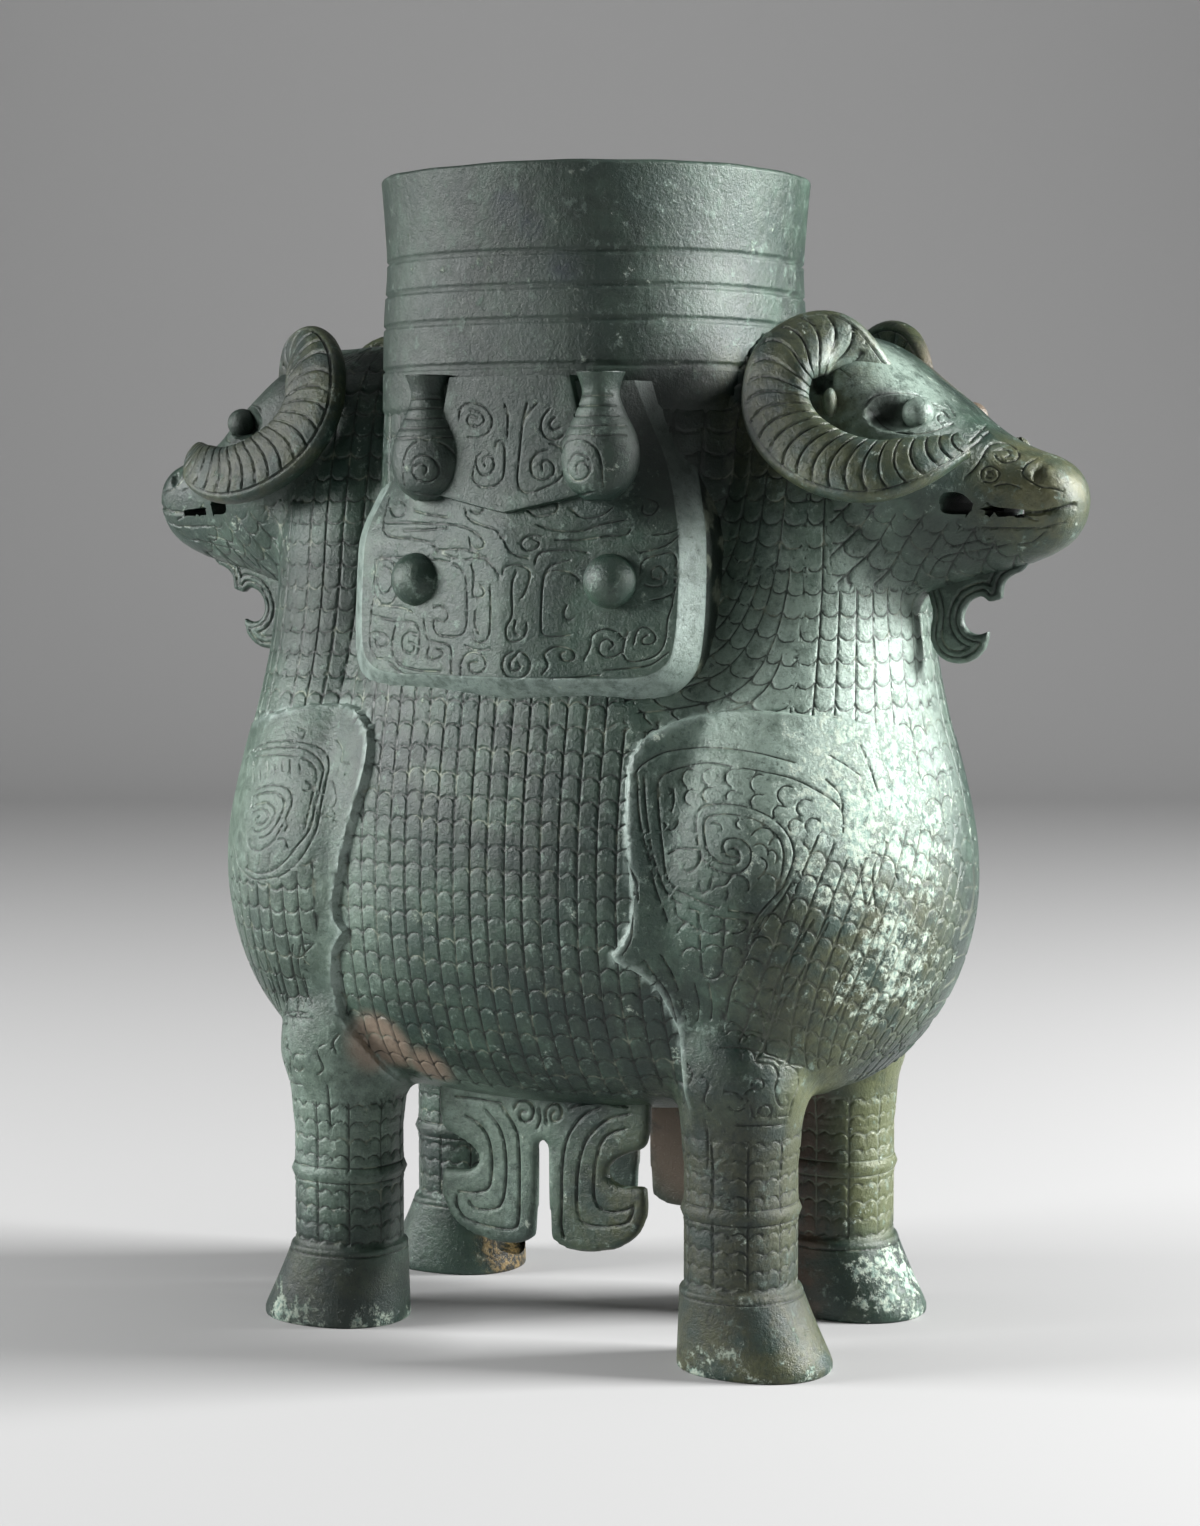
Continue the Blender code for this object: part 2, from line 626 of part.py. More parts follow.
def add_pendants(vessel):
    """Two flat plates under the belly, each a pair of hooks that open outwards."""
    for side in (-1, 1):
        outline = [(side * x, z) for x, z in smooth_outline(PENDANT_HOOK, OUTLINE_STEPS)]
        hook = plate('pendant', outline, -PENDANT_FROM_MIDDLE - PENDANT_THICKNESS / 2,
                     -PENDANT_FROM_MIDDLE + PENDANT_THICKNESS / 2)
        join_both_ways(vessel, hook)


def neck_half(z):
    """Half width and squareness of the vessel's neck at a height in units."""
    rows = between([(330, 0, 2.6)] + NECK, 4)
    for below, above in zip(rows, rows[1:]):
        if z <= above[0] or above is rows[-1]:
            t = (z - below[0]) / (above[0] - below[0])
            share, power = [a + (b - a) * t for a, b in zip(below[1:], above[1:])]
            return NECK_HALF_WIDTH + (MOUTH_RADIUS - NECK_HALF_WIDTH) * share, power


def neck_loft(name, rows):
    """A solid with the shape of the vessel's neck, through (height, distance outside the neck)."""
    rings = []
    for height, out in rows:
        half, power = neck_half(height / UNIT)
        rings.append(level_ring(0, 0, height, half + out, half + out, power, NECK_SIDES))
    return loft(name, rings)


def neck_sleeve():
    """The outside of the vessel's neck, with the lines cut round it."""
    rows = [(NECK_SLEEVE_LOW * UNIT - WALL / 2, -WALL / 2), (NECK_SLEEVE_LOW * UNIT, 0)]
    for height in sorted(NECK_GROOVES_AT):
        middle = height * UNIT
        rows += [(middle - NECK_GROOVE_WIDTH / 2, 0), (middle, -NECK_GROOVE_DEPTH),
                 (middle + NECK_GROOVE_WIDTH / 2, 0)]
    rows += [(height * UNIT, 0) for height in (415, 432, 441)]
    return neck_loft('neck sleeve', rows)


def bronze():
    """Bronze under a grey-green patina."""
    material = bpy.data.materials.new('bronze')
    material.use_nodes = True
    shader = material.node_tree.nodes['Principled BSDF']
    shader.inputs['Base Color'].default_value = (0.11, 0.17, 0.13, 1)
    shader.inputs['Roughness'].default_value = 0.5
    shader.inputs['Metallic'].default_value = 0.25
    return material


def main():
    """Build the one casting."""
    for item in list(bpy.data.objects):
        bpy.data.objects.remove(item)
    vessel = make_core()
    join(vessel, neck_sleeve())
    add_shoulders(vessel)
    add_masks(vessel)
    add_feet(vessel)
    add_pendants(vessel)
    add_heads(vessel)
    join(vessel, box('above', (-1, -1, HEIGHT), (1, 1, 1)), 'DIFFERENCE')
    join(vessel, make_hollow(), 'DIFFERENCE')
    vessel.data.materials.clear()
    vessel.data.materials.append(bronze())
    vessel.data.shade_smooth()
    vessel.data.set_sharp_from_angle(angle=math.radians(40))


main()
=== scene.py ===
import math

import bmesh
import bpy
import numpy as np
from mathutils import Matrix, Vector
from mathutils.bvhtree import BVHTree


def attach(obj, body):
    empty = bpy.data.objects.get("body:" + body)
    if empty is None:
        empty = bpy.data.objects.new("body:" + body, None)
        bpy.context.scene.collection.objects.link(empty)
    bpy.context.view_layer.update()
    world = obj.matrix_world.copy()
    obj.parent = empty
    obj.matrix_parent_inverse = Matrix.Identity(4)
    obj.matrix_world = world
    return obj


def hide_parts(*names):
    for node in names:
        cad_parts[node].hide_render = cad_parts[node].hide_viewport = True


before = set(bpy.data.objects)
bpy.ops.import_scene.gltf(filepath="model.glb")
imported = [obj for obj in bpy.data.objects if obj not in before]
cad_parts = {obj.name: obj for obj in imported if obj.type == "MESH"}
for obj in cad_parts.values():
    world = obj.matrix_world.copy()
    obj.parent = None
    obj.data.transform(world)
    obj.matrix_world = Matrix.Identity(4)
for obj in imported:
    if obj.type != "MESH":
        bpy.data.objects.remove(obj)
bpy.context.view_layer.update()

# Forms are worked out in millimetres, as seen from the near side: X runs right, Y away, Z up.
MM = 0.001
HALF_TURN = (-1, -1, 1)
# A distance that stands for nothing near
FAR = 9.0

# Sizes that follow the solid
WALL = 4.8
NECK_HALF, MOUTH_RADIUS = 75.6, 80.3
NECK_LINES = (360, 376, 388, 400)
LEG_X, LEG_Y, LEG_RADIUS = 82, 47.7, 20.2
HOOF_LENGTH, HOOF_WIDTH, HOOF_HEIGHT, HOOF_TOE = 28.5, 23.5, 29, 5.5
RING_Z = 58
MASK_THICKNESS, MASK_PROUD, MASK_BEVEL, MASK_OFF = 9, 10.5, 10.5, 5
MASK_HORN_X, MASK_HORN_HEIGHT = 34.5, 10.5
MASK_EYE_X, MASK_EYE_Z = 39, 283.5
FOREHEAD_STEP = 2.4
SHOULDER_STEP = 2.8
HORN_WIDTH, HORN_THICKNESS = 24.5, 12.5
PENDANT_Y, PENDANT_THICK = 44, 4.6
BEARD_THICK = 4.2

# Fine mesh and carving
VOXEL, SMOOTHING = 2.9, 12
GROOVE, DEPTH = 1.3, 0.6
# A point this near to a cut is taken to be on it.
SNAP = 0.1
HORN_RIB = 5.3

# Triangles are halved this near to a curve, where their edges are longer than this.
CORE_FINE, PLATE_FINE = (1.7, 2.1), (1.5, 1.9)

# Heights where the core's skin ends, inside the lower legs and the vessel's neck, and where the hollow ends
CORE_BOTTOM, CORE_TOP = 66, 349
HOLLOW_TOP, HOLLOW_CHEST_TOP = 350, 268

# The mask's grid, and its edge as shares of the bevel and the thickness: the first layers are pale
MASK_GRID = (66, 78)
MASK_LAYERS = ((0.05, 0.01), (0.12, 0.05), (0.25, 0.17), (0.5, 0.44), (0.75, 0.72), (0.93, 0.92), (1.0, 1.05),
               (0.94, 1.15))
PALE_LAYERS = 7

# Scales: widths of the columns, how they turn, and where they change
FAN_COLUMN, FAN_TURN = 7.2, math.radians(24)
MINUS_COLUMN = 6.4
JAW_COLUMN, JAW_TURN, JAW_X, JAW_Z = 7.6, math.radians(-38), (112, 176), (280, 320)
LEG_COLUMN, LEG_PHASE = 36, 59.6
BELLY_COLUMN, BELLY_END = 7.0, 47
CHEST_COLUMNS, CHEST_FROM = 8, 105
SWEPT_ABOVE, SWEEP = 233, 539

# Zones of scales: the pitch, 1 for arches or -1 for cups, how many in a column, and the groove's width and depth
ARCHES, CUPS, FAN, MINUS, LEGS, JAWS = range(1, 7)
SCALES = {
    ARCHES: (8.6, 1, 1, GROOVE, DEPTH), CUPS: (8.2, -1, 1, GROOVE, DEPTH), FAN: (8.6, 1, 1, GROOVE, DEPTH),
    MINUS: (8.4, -1, 1, GROOVE, DEPTH), LEGS: (6.6, 1, 2, GROOVE, DEPTH), JAWS: (7.4, -1, 1, 1.1, 0.5)}

# The place that the photo was taken from, in metres, and the lamps: place to the right, front and top of
# the vessel as it shows, aim, size and power
CAMERA_TURN, CAMERA_PITCH = math.radians(26.44), math.radians(4.46)
CAMERA_AWAY, CAMERA_HEIGHT = 1.2142, 0.3071
LAMPS = (('key', (1.9, 0.1, 0.9), (0.05, 0, 0.2), 0.7, 122),
         ('side', (-1.9, 0.14, 0.75), (-0.05, 0, 0.2), 0.8, 62),
         ('top', (0, 0.3, 2.3), (0, 0, 0.1), 1.2, 7))

# Places with a colour of their own, and places of painted shadow, shade and highlight: middle, radius, softness and
# strength
SPOTS = {
    'pale': [((112, -50, 250), 56, 40, 1), ((-122, -40, 190), 44, 28, 1), ((-84, -62, 84), 34, 22, 1),
             ((-26, -45, 72), 34, 12, 1), ((-72, -62, 160), 32, 24, 1)],
    'face': [((126, -28, 350), 24, 12, 1), ((126, -48, 232), 50, 26, 1)],
    'olive': [((128, -45, 150), 42, 30, 1), ((183, -14, 318), 26, 14, 1), ((85, -50, 30), 70, 35, 1),
              ((96, -38, 345), 30, 16, 1), ((-85, -50, 15), 22, 10, 1)],
    # A painted highlight on the side of the +X ram's snout
    'snout_highlight': [((184, -20, 320), 19, 12, 1)],
    'legs': ([((103, -42, z), 17, 9, 1) for z in (50, 75, 100, 125)]
             + [((98, 44, z), 20, 8, 1) for z in (50, 75, 100)]),
    'crust': [((144, -46, 200), 44, 32, 1), ((156, -40, 148), 34, 22, 0.9), ((86, -48, -8), 31, 4, 0.65),
              ((-86, -48, -8), 31, 4, 0.65), ((104, 42, 12), 19, 9, 0.8)],
    'stain': [((3, -77, 416), 5, 4, 1), ((12, -76, 409), 4, 4, 1), ((24, -74, 395), 5, 4, 1)],
    'red': [((-56, -67, 110), 13, 4, 1), ((-38, -64, 102), 9, 4, 1)],
    'brown': [((66, 33, z), 20, 7, 0.85) for z in (10, 35, 60, 85, 110)],
    'tan': [((134, 36, 352), 20, 10, 1), ((30, 40, 65), 32, 8, 1)],
    'broken': [((-60, 45, 13), 17, 4, 1)],
    'dust': [((140, -30, 135), 52, 22, 0.85), ((90, 44, 75), 42, 10, 0.85)],
    # Painted shadow behind the mask's right horn, and painted shade in the eye and ear hollows of the head and in
    # the broken hoof
    'painted_shadow_and_shade': [((66, -62, 336), 30, 18, 1), ((56, -66, 345), 15, 6, 1), ((-84, 46, 14), 18, 2, 1),
             ((128.5, -33, 344.5), 7, 2.5, 1), ((107.6, -38, 354.2), 4, 1.5, 1)],
    # Painted shade darkening the collar, the -X chest and head, the +X near leg, the -X near hoof and the +X jaw
    'painted_shade': [((-20, -75, 395), 78, 32, 0.45), ((-98, -40, 274), 24, 16, 0.5), ((84, -62, 55), 46, 16, 0.55),
            ((-82, -60, 12), 22, 8, 0.5), ((150, -20, 289), 22, 12, 0.55), ((-125, -47, 345), 34, 14, 0.6)]}


# Forms, as in the solid

# The neck's foot in the body and its lip: height, and how far out of the neck's outline
NECK_FOOT = [(312, -19), (320, -13.5), (328, -8.5), (336, -4.2), (342, -1.4), (345, -0.4)]
LIP = [(430.6, -0.05), (431.5, -0.5), (432, -1.2), (432, -3.0), (431.3, -4.3), (430, -4.8)]
# Balls that fill the sides of the heads inside the curl of the horns, and dents: an oval's middle and half
# sizes, the depth and how flat the dent is
CHEEKS = [((98.5, 27, 350), (13, 12.5, 15)), ((107, 28, 343), (13, 13, 13))]
DENTS = [((134.6, 342.3, 10.4, 6.6), 7.5, 2.2), ((107.6, 354.2, 3.6, 5.2), 8.0, 3.0),
         ((180.4, 321.4, 2.2, 4.2), 2.6, 2.0)]
# Height, half length, half width and squareness
BELLY = [
    (86, 40, 24, 2), (89, 74, 44, 2.1), (96, 98, 60, 2.2), (110, 116, 73, 2.2), (132, 127, 83, 2.2),
    (160, 131, 88, 2.2), (190, 128, 88, 2.2), (215, 116, 85, 2.3), (240, 99, 80.5, 2.4), (265, 84, 77, 2.6),
    (300, 76.5, 75.2, 2.7), (340, 75.2, 75.2, 2.6)]
# Height, share of the way from the neck's half width to the mouth's, and squareness
NECK = [(376, 0, 2.5), (398, 0.06, 2.3), (415, 0.5, 2.15), (432, 1, 2.05), (441, 1.25, 2.05)]
# Height, inner and outer x, half width and squareness
CHEST = [
    (97, 64, 107, 30, 2), (104, 50, 118, 48, 2), (118, 40, 131, 62, 2), (136, 30, 141.5, 72, 2),
    (160, 20, 148, 79, 2), (185, 20, 148, 80, 2), (210, 25, 143.5, 74, 2), (232, 35, 137, 65, 2.1),
    (255, 45, 133, 56, 2.1), (280, 50, 130.5, 50, 2.1), (305, 55, 129, 47, 2.1), (330, 60, 123, 42, 2.1),
    (350, 60, 117, 36, 2.1), (364, 60, 111, 27, 2), (372, 60, 104, 14, 2)]
# x, top, bottom, half width and squareness
HEAD = [
    (96, 366, 290, 30, 2), (104, 371, 285, 35, 2.2), (113, 371, 281, 37, 2.5), (124, 365, 279, 37.5, 2.6),
    (134, 357, 279, 36, 2.6), (145, 349, 282, 31.5, 2.5), (155, 341, 285, 25.5, 2.4), (165, 334.5, 287, 20.5, 2.4),
    (175, 330, 290, 17.5, 2.5), (184, 327, 294, 15.5, 2.5), (190, 322, 299, 12, 2.3), (193.5, 315, 306, 6, 2)]
# Height, how much wider than the lower leg, and how far it leans out
LEG_STUMP = [(-6, -2.4, 0), (20, -2.4, 0), (45, -2.4, 0)]
LEG = [
    (64, -2.4, 0), (74, 0.4, 0), (84, 1.2, 0), (94, 2, 0), (106, 3, 0), (120, 4, -3), (136, 3, -8), (150, -2, -16)]
# Outlines in (x, z) are smooth runs, and each starts where the one before ends. SHOULDER_MINUS is the
# panel of the -X ram, drawn with x > 0.
SHOULDER_PLUS = [
    [(128, 234), (96, 238.5), (70, 236), (56, 229)], [(51.5, 219), (52, 196), (55, 172)], [(53, 160),
    (45.5, 150.5)], [(60, 142), (67, 126), (70, 104), (71, 88)], [(110, 86), (160, 88)], [(175, 160), (150, 226)]]
SHOULDER_MINUS = [
    [(118, 229), (92, 235), (66, 236), (54, 228)], [(53, 214), (61, 188), (68, 164)], [(67, 158), (62, 153.5)],
    [(70, 143), (71, 124), (62, 106), (56, 90)], [(110, 86), (160, 88)], [(175, 160), (150, 222)]]
# x, y, z, and shares of the width and the thickness, from root to tip
HORN = [
    (127, -13, 343, 0.6, 0.6), (110.5, -31, 366, 0.95, 0.95), (97.5, -44, 362.2, 1, 1), (95, -50, 347, 1, 1),
    (102.5, -53, 334, 1, 1), (117, -54, 325, 0.98, 1), (133, -52, 322, 0.9, 0.95), (147, -46, 325.2, 0.75, 0.85),
    (158.5, -33, 331, 0.4, 0.5)]
BEARD = [
    [(133.5, 283), (135.8, 272.5), (135.3, 262), (139.2, 255.4), (146, 253.2), (152.5, 255.2), (156.6, 259.8),
    (157.6, 265.5)], [(153.5, 264), (149.4, 265.6), (147.7, 270), (150.2, 275.8), (155.2, 278)], [(157.5, 275.8),
    (162.3, 276.9)], [(163.7, 283.6), (170, 287)], [(174, 292), (178, 296)], [(160, 300), (140, 289)]]
MOUTH_CORNER = [[(149.5, 314.4), (155, 314.6), (158.6, 311.3)], [(158.4, 307)], [(149.5, 307.4), (148, 311)]]
LIP_GAP = [[(176, 308.6)], [(176.2, 306.2)], [(162, 306.8)], [(162, 310)]]
# Height and half width
MASK = [
    (249.5, 44), (250.3, 52), (252.5, 57.5), (257, 61.3), (266, 62.8), (280, 63.2), (295, 62.8), (303, 61.5),
    (310, 59.3), (325, 54), (340, 49), (354, 45)]
# Height, half width, and share of how far it stands off the mask
MASK_HORN = [
    (312, 5, 0.4), (317, 11.5, 0.85), (325, 14.5, 1), (334, 13.5, 1), (343, 9, 0.75), (350, 6.6, 0.65),
    (357, 8.5, 0.9)]
# The hole's outline in shares of the hoof's half width and its height
BROKEN_HOOF = [[(0, 0.2), (0.45, 0.3), (0.58, 0.62), (0.3, 0.92), (-0.2, 0.84), (-0.55, 0.7), (-0.5, 0.33)]]
PENDANT_HOOK = [
    [(-0.4, 75)], [(2.5, 75)], [(2.7, 54), (3.4, 38.5)], [(8, 35.2), (18, 34), (31, 36.5)], [(39, 42.5), (43, 52),
    (42, 61)], [(34, 60.5), (28.5, 61.5)], [(26.8, 65.5), (29, 69.2)], [(35, 72.5), (41, 74.5)], [(43.5, 80),
    (44, 98)], [(-0.4, 98)]]


# Carved lines in (x, z), drawn on the near side: x > 0 for the +X ram and x < 0 for the -X ram

FOREHEAD_CURVES = [
    [(-14.9, 341.2), (-13.8, 345.1), (-8.9, 346.7), (-3.1, 344.5), (-0.6, 340.1), (-2.7, 335.7), (-6.9, 334.4),
     (-11.1, 334.4)],
    [(-6.8, 341), (-10, 342.2), (-11.3, 340.2), (-9, 338.4), (-5.3, 338.6), (-4, 340.7), (-5.8, 343.2),
     (-10, 344.2)],
    [(4.5, 345.7), (5.7, 342.2), (5.5, 334.7)],
    [(-8.2, 323.7), (-8.3, 319.7), (-4.7, 316.8), (0.5, 317), (4.1, 320.1), (4.6, 327.2), (3.9, 332.3), (1.7, 333),
     (0.6, 330.7)],
    [(-5.2, 328.6), (-7.3, 326.8), (-6.6, 323.3), (-4.4, 321), (-1.3, 321.4), (0.4, 324.5), (-1, 327.7),
     (-4.1, 326.8), (-3.5, 324.4)],
    [(13.4, 346.5), (11.5, 338.6), (10.3, 327.1), (9.9, 319.2), (11.5, 315.6), (15, 314.6), (20.6, 316.5),
     (25.4, 318.9), (27.7, 322.2), (28.2, 326.1), (26.2, 330.5), (22, 331.9)],
    [(21.1, 329.7), (17.8, 328.8), (15.3, 326.2), (15.2, 322.2), (17.2, 319.9), (20.7, 319.3), (23.5, 321.1),
     (23.6, 324.2), (21.4, 326.2), (19.2, 325.3), (19.5, 322.7)],
    [(22, 344.2), (19.4, 341.1), (18.7, 337.2), (20.6, 334.1), (24.4, 333.2), (27.1, 334.9)],
    [(23.9, 341.1), (22, 338.9), (23.4, 336.7), (25.8, 337.6)],
    [(11.5, 338.6), (13.4, 342.1), (17.3, 346.4)],
    [(31.3, 341.9), (33.1, 337.5), (30.8, 333.1), (28.5, 329.6), (31.9, 326.1)]]
MASK_CURVES = [
    [(-52.7, 313.6), (-52.5, 305), (-50.7, 300.4), (-44.9, 298.6), (-36.3, 298.2), (-27.9, 296.7), (-23.1, 294.2),
     (-13.8, 294.7), (-4.7, 292.6), (0.8, 289.1), (4.2, 284.2)],
    [(-50.9, 304.1), (-40.2, 304.1), (-25.9, 303.6), (-16.5, 303.2), (-9, 301.4), (-3.7, 297.9), (-3.5, 295.2),
     (-8.2, 295), (-10, 298.8)],
    [(-41.3, 301.3), (-30.5, 301.4), (-19.9, 302.1)],
    [(-51.2, 310.4), (-47.8, 306.8), (-41.6, 307.2), (-41.7, 310.4), (-46.2, 312.3)],
    [(-36.8, 308.6), (-30.7, 307.2), (-20.2, 305.9)],
    [(-12.6, 309.5), (-10.5, 305.5), (-4.2, 303.2), (1.9, 301.5), (4.7, 297.9), (5.6, 299.7)],
    [(-10.3, 308.6), (-6.9, 307.2), (-4.7, 308.6), (-5.4, 310.8)],
    [(-25.5, 294.2), (-13.6, 290.7), (-4.7, 291.5), (0.9, 288.3), (4.4, 285.1)],
    [(-53.5, 291.2), (-39.6, 291.4), (-24.1, 290.6), (-15.8, 288.9), (-11.4, 285.4), (-10.1, 280), (-9.7, 267.5),
     (-12.4, 263.7), (-19.3, 263.3), (-23.5, 264.5), (-24.9, 269), (-20.1, 268.4), (-18.1, 271), (-21.6, 274),
     (-25.1, 273.5)],
    [(-53.4, 290.3), (-47, 290.4), (-42.4, 285), (-42.9, 277.7), (-47.5, 273.8), (-52.7, 275.7), (-55.3, 281.2)],
    [(-50.1, 287.8), (-46.1, 285.9), (-45.6, 280.9), (-49.3, 278.1), (-52.4, 280.3), (-53.2, 284.8)],
    [(-55.1, 275.7), (-51.3, 273.7), (-40.5, 273.2), (-35, 271.5)],
    [(-54, 270), (-43.4, 268.2), (-34.8, 267.9), (-31.5, 264.8), (-31.4, 258), (-32.1, 254.9)],
    [(-32, 263), (-36.1, 264.3), (-39.4, 261.9), (-38.8, 257.8), (-34.5, 256.9), (-33.6, 260), (-36.3, 260.8)],
    [(-43.1, 266.4), (-44.3, 261.3), (-43.8, 255.9), (-39.5, 252.2), (-30.4, 250.7), (-21, 250.7)],
    [(-55, 263.8), (-51.5, 264), (-46.9, 262.2), (-47.2, 259.2), (-51.8, 258.7), (-53, 260.9)],
    [(-29.5, 268.9), (-28.1, 263.5), (-25.7, 261.1), (-19.2, 260.6), (-16.5, 259.2), (-15.6, 254.9)],
    [(-26.5, 259.5), (-27.4, 255.4), (-23.6, 254.8), (-20.1, 256.4), (-20.9, 258.3), (-24, 258.2)],
    [(0.1, 281.1), (0.8, 269.5), (0, 263.3), (-3.4, 261.3), (-6.3, 263), (-6.6, 265.4)],
    [(-8.8, 289.4), (-7.1, 285.4), (-7.2, 278.3), (-4.1, 277.3), (-2, 279.4), (-4.3, 281.9)],
    [(-5.9, 273), (-5.8, 267.6), (-3.9, 264.5)],
    [(-16.1, 257.6), (-15.8, 250)],
    [(-11.5, 249.2), (-11.2, 254.6), (-7.6, 257.8), (-2.3, 257), (-0.6, 253.1), (-3.7, 250.2), (-7.3, 251.5),
     (-7.5, 254.2), (-4.4, 254.5)],
    [(-10, 260.2), (-5.4, 258.7), (1.1, 259.1)],
    [(-54.1, 290.3), (-55.1, 276.6), (-55.9, 268.3), (-55.8, 259.2), (-52.7, 254.7), (-49, 254.3)],
    [(4.6, 299.7), (6.6, 295.3), (9.7, 292.7), (14.9, 291.6)],
    [(19.5, 299.3), (14.2, 299.3), (11.9, 296.6), (13.9, 294.3), (17.3, 294.8), (18.7, 297.1), (16.3, 298.2)],
    [(5.2, 285.5), (6.1, 288.4), (11.7, 289.1), (15.6, 286.5), (14.4, 280.3), (12.2, 276.8)],
    [(17.3, 289.6), (18.3, 292.7), (21.3, 294), (29.8, 294.5), (36.5, 293.5)],
    [(10.4, 286.5), (9, 282), (9.4, 271.4), (7.5, 267.4), (7.5, 263.9), (9.5, 262), (12.8, 262.6), (15, 265.3),
     (14.9, 268.8)],
    [(11.1, 269.7), (10.3, 266.1), (12.2, 264.4)],
    [(30, 291), (23.7, 289.2), (21.3, 286.5), (20.4, 280.4), (20.4, 268), (21.5, 264.5), (26, 264), (30.9, 264.6)],
    [(29.5, 275.1), (28.4, 272.3), (29.7, 269.7), (32, 270.7)],
    [(22, 286.5), (24.7, 287.4), (30.1, 286.6), (33.7, 283.9)],
    [(10.6, 258.6), (8.5, 257.8), (7, 256.3), (6.4, 254.3), (6.6, 252.2), (7.8, 250.4), (9.6, 249.2), (11.8, 248.8),
     (14, 249.3), (15.7, 250.6), (16.7, 252.4), (16.9, 254.5), (16.1, 256.4), (14.5, 257.9), (12.4, 258.6),
     (11.3, 256.9), (9.5, 255.1), (9.6, 252.4), (11.8, 251.6), (13.3, 253.1), (12.3, 254.7)],
    [(21.5, 250.8), (23.4, 253.8), (22, 257.4), (24.8, 260.1), (29.3, 260.3), (32.7, 258.3), (32.1, 255.6),
     (28.7, 255.8), (27.6, 257.9), (29.4, 258.6)],
    [(36.1, 255.8), (38.2, 260.3), (38.9, 264.7), (43.3, 266.9), (47.9, 265.6), (50.3, 262.1), (48.9, 258.4),
     (44.7, 256.8), (41.6, 258.7), (41.7, 261.9), (44.3, 263.4), (46.6, 261.7), (45.1, 259.9)],
    [(51.4, 266.1), (49.9, 259.5), (51.8, 255.8), (56.7, 255.9), (61.9, 258.3), (64.3, 263.5), (64.7, 270.1),
     (66.3, 277.1), (66.9, 291.1)],
    [(53.5, 261.7), (54.7, 266.4), (57.3, 267.6), (60.8, 264.8), (60.1, 262), (56.7, 261.7), (56.5, 263.9),
     (58.3, 264.8)],
    [(54.8, 285.8), (55.5, 290.6), (60.5, 292.8), (65.7, 293.5), (67.2, 290.2)],
    [(54.9, 284.1), (57.5, 281.9), (62.6, 282.2), (64, 285.8), (61.7, 289), (58.6, 287.6), (59.1, 284.8),
     (61.7, 284.4), (62, 286.3)],
    [(67.1, 287.6), (66.9, 280.6), (63.2, 278), (58.6, 276.9)],
    [(68, 308.6), (67.4, 302.9), (63.6, 300.5), (58.6, 299.8)],
    [(67.2, 299.8), (63.1, 296.1), (54.5, 293.5)],
    [(55.6, 312.5), (58.7, 310.3), (57.1, 306.8), (54, 307.7), (54, 310.3)],
    [(13.3, 308.6), (17.3, 306.4), (23.7, 307.7), (24.4, 310.8), (21.6, 311.7), (18.9, 309.9)],
    [(29.1, 309.4), (33.8, 305.9), (40.1, 306.4), (44.4, 309.4)],
    [(17.7, 303.3), (24.2, 301.5), (33.1, 301.1), (40.2, 303.3), (48.9, 305.1)],
    [(24.3, 298), (33.2, 298), (42.1, 299.3), (49.1, 299.8), (50.8, 301.6)],
    [(43.8, 252.4), (49.9, 252.9), (59.3, 254.3), (65.1, 258.7)],
    [(24.3, 249.1), (33.2, 249.7), (42.1, 250.6)],
    [(-45.8, 253.1), (-37.6, 248.8), (-28.1, 248.2), (-17.5, 247.8)],
    [(-41.4, 345.8), (-38.3, 343), (-41.4, 339.9), (-44.5, 341.3)],
    [(-48.9, 335), (-44.5, 334.1), (-44.6, 330.9), (-48.3, 331.4)],
    [(-52, 325.1), (-46.8, 324.1), (-47.2, 320.5), (-51.1, 320.5), (-50.9, 322.8)],
    [(-40.3, 318.6), (-38.6, 315.9), (-35.2, 314.5)]]
MASK_HORN_CURVES = [
    [(-34.8, 317.1), (-34.9, 323.9), (-32.8, 330.1), (-26.3, 333.6), (-19.3, 331.9), (-15.3, 325.5), (-16, 318.4),
     (-23, 313.8), (-31.2, 314.9)],
    [(-30.9, 322), (-30, 326.7), (-25.1, 328.1), (-21.5, 325.3), (-21.1, 321.5), (-24.4, 318.6), (-29.1, 319.8),
     (-30.4, 322.9), (-27.9, 325.1), (-24.9, 323.9), (-25.7, 321.5)]]
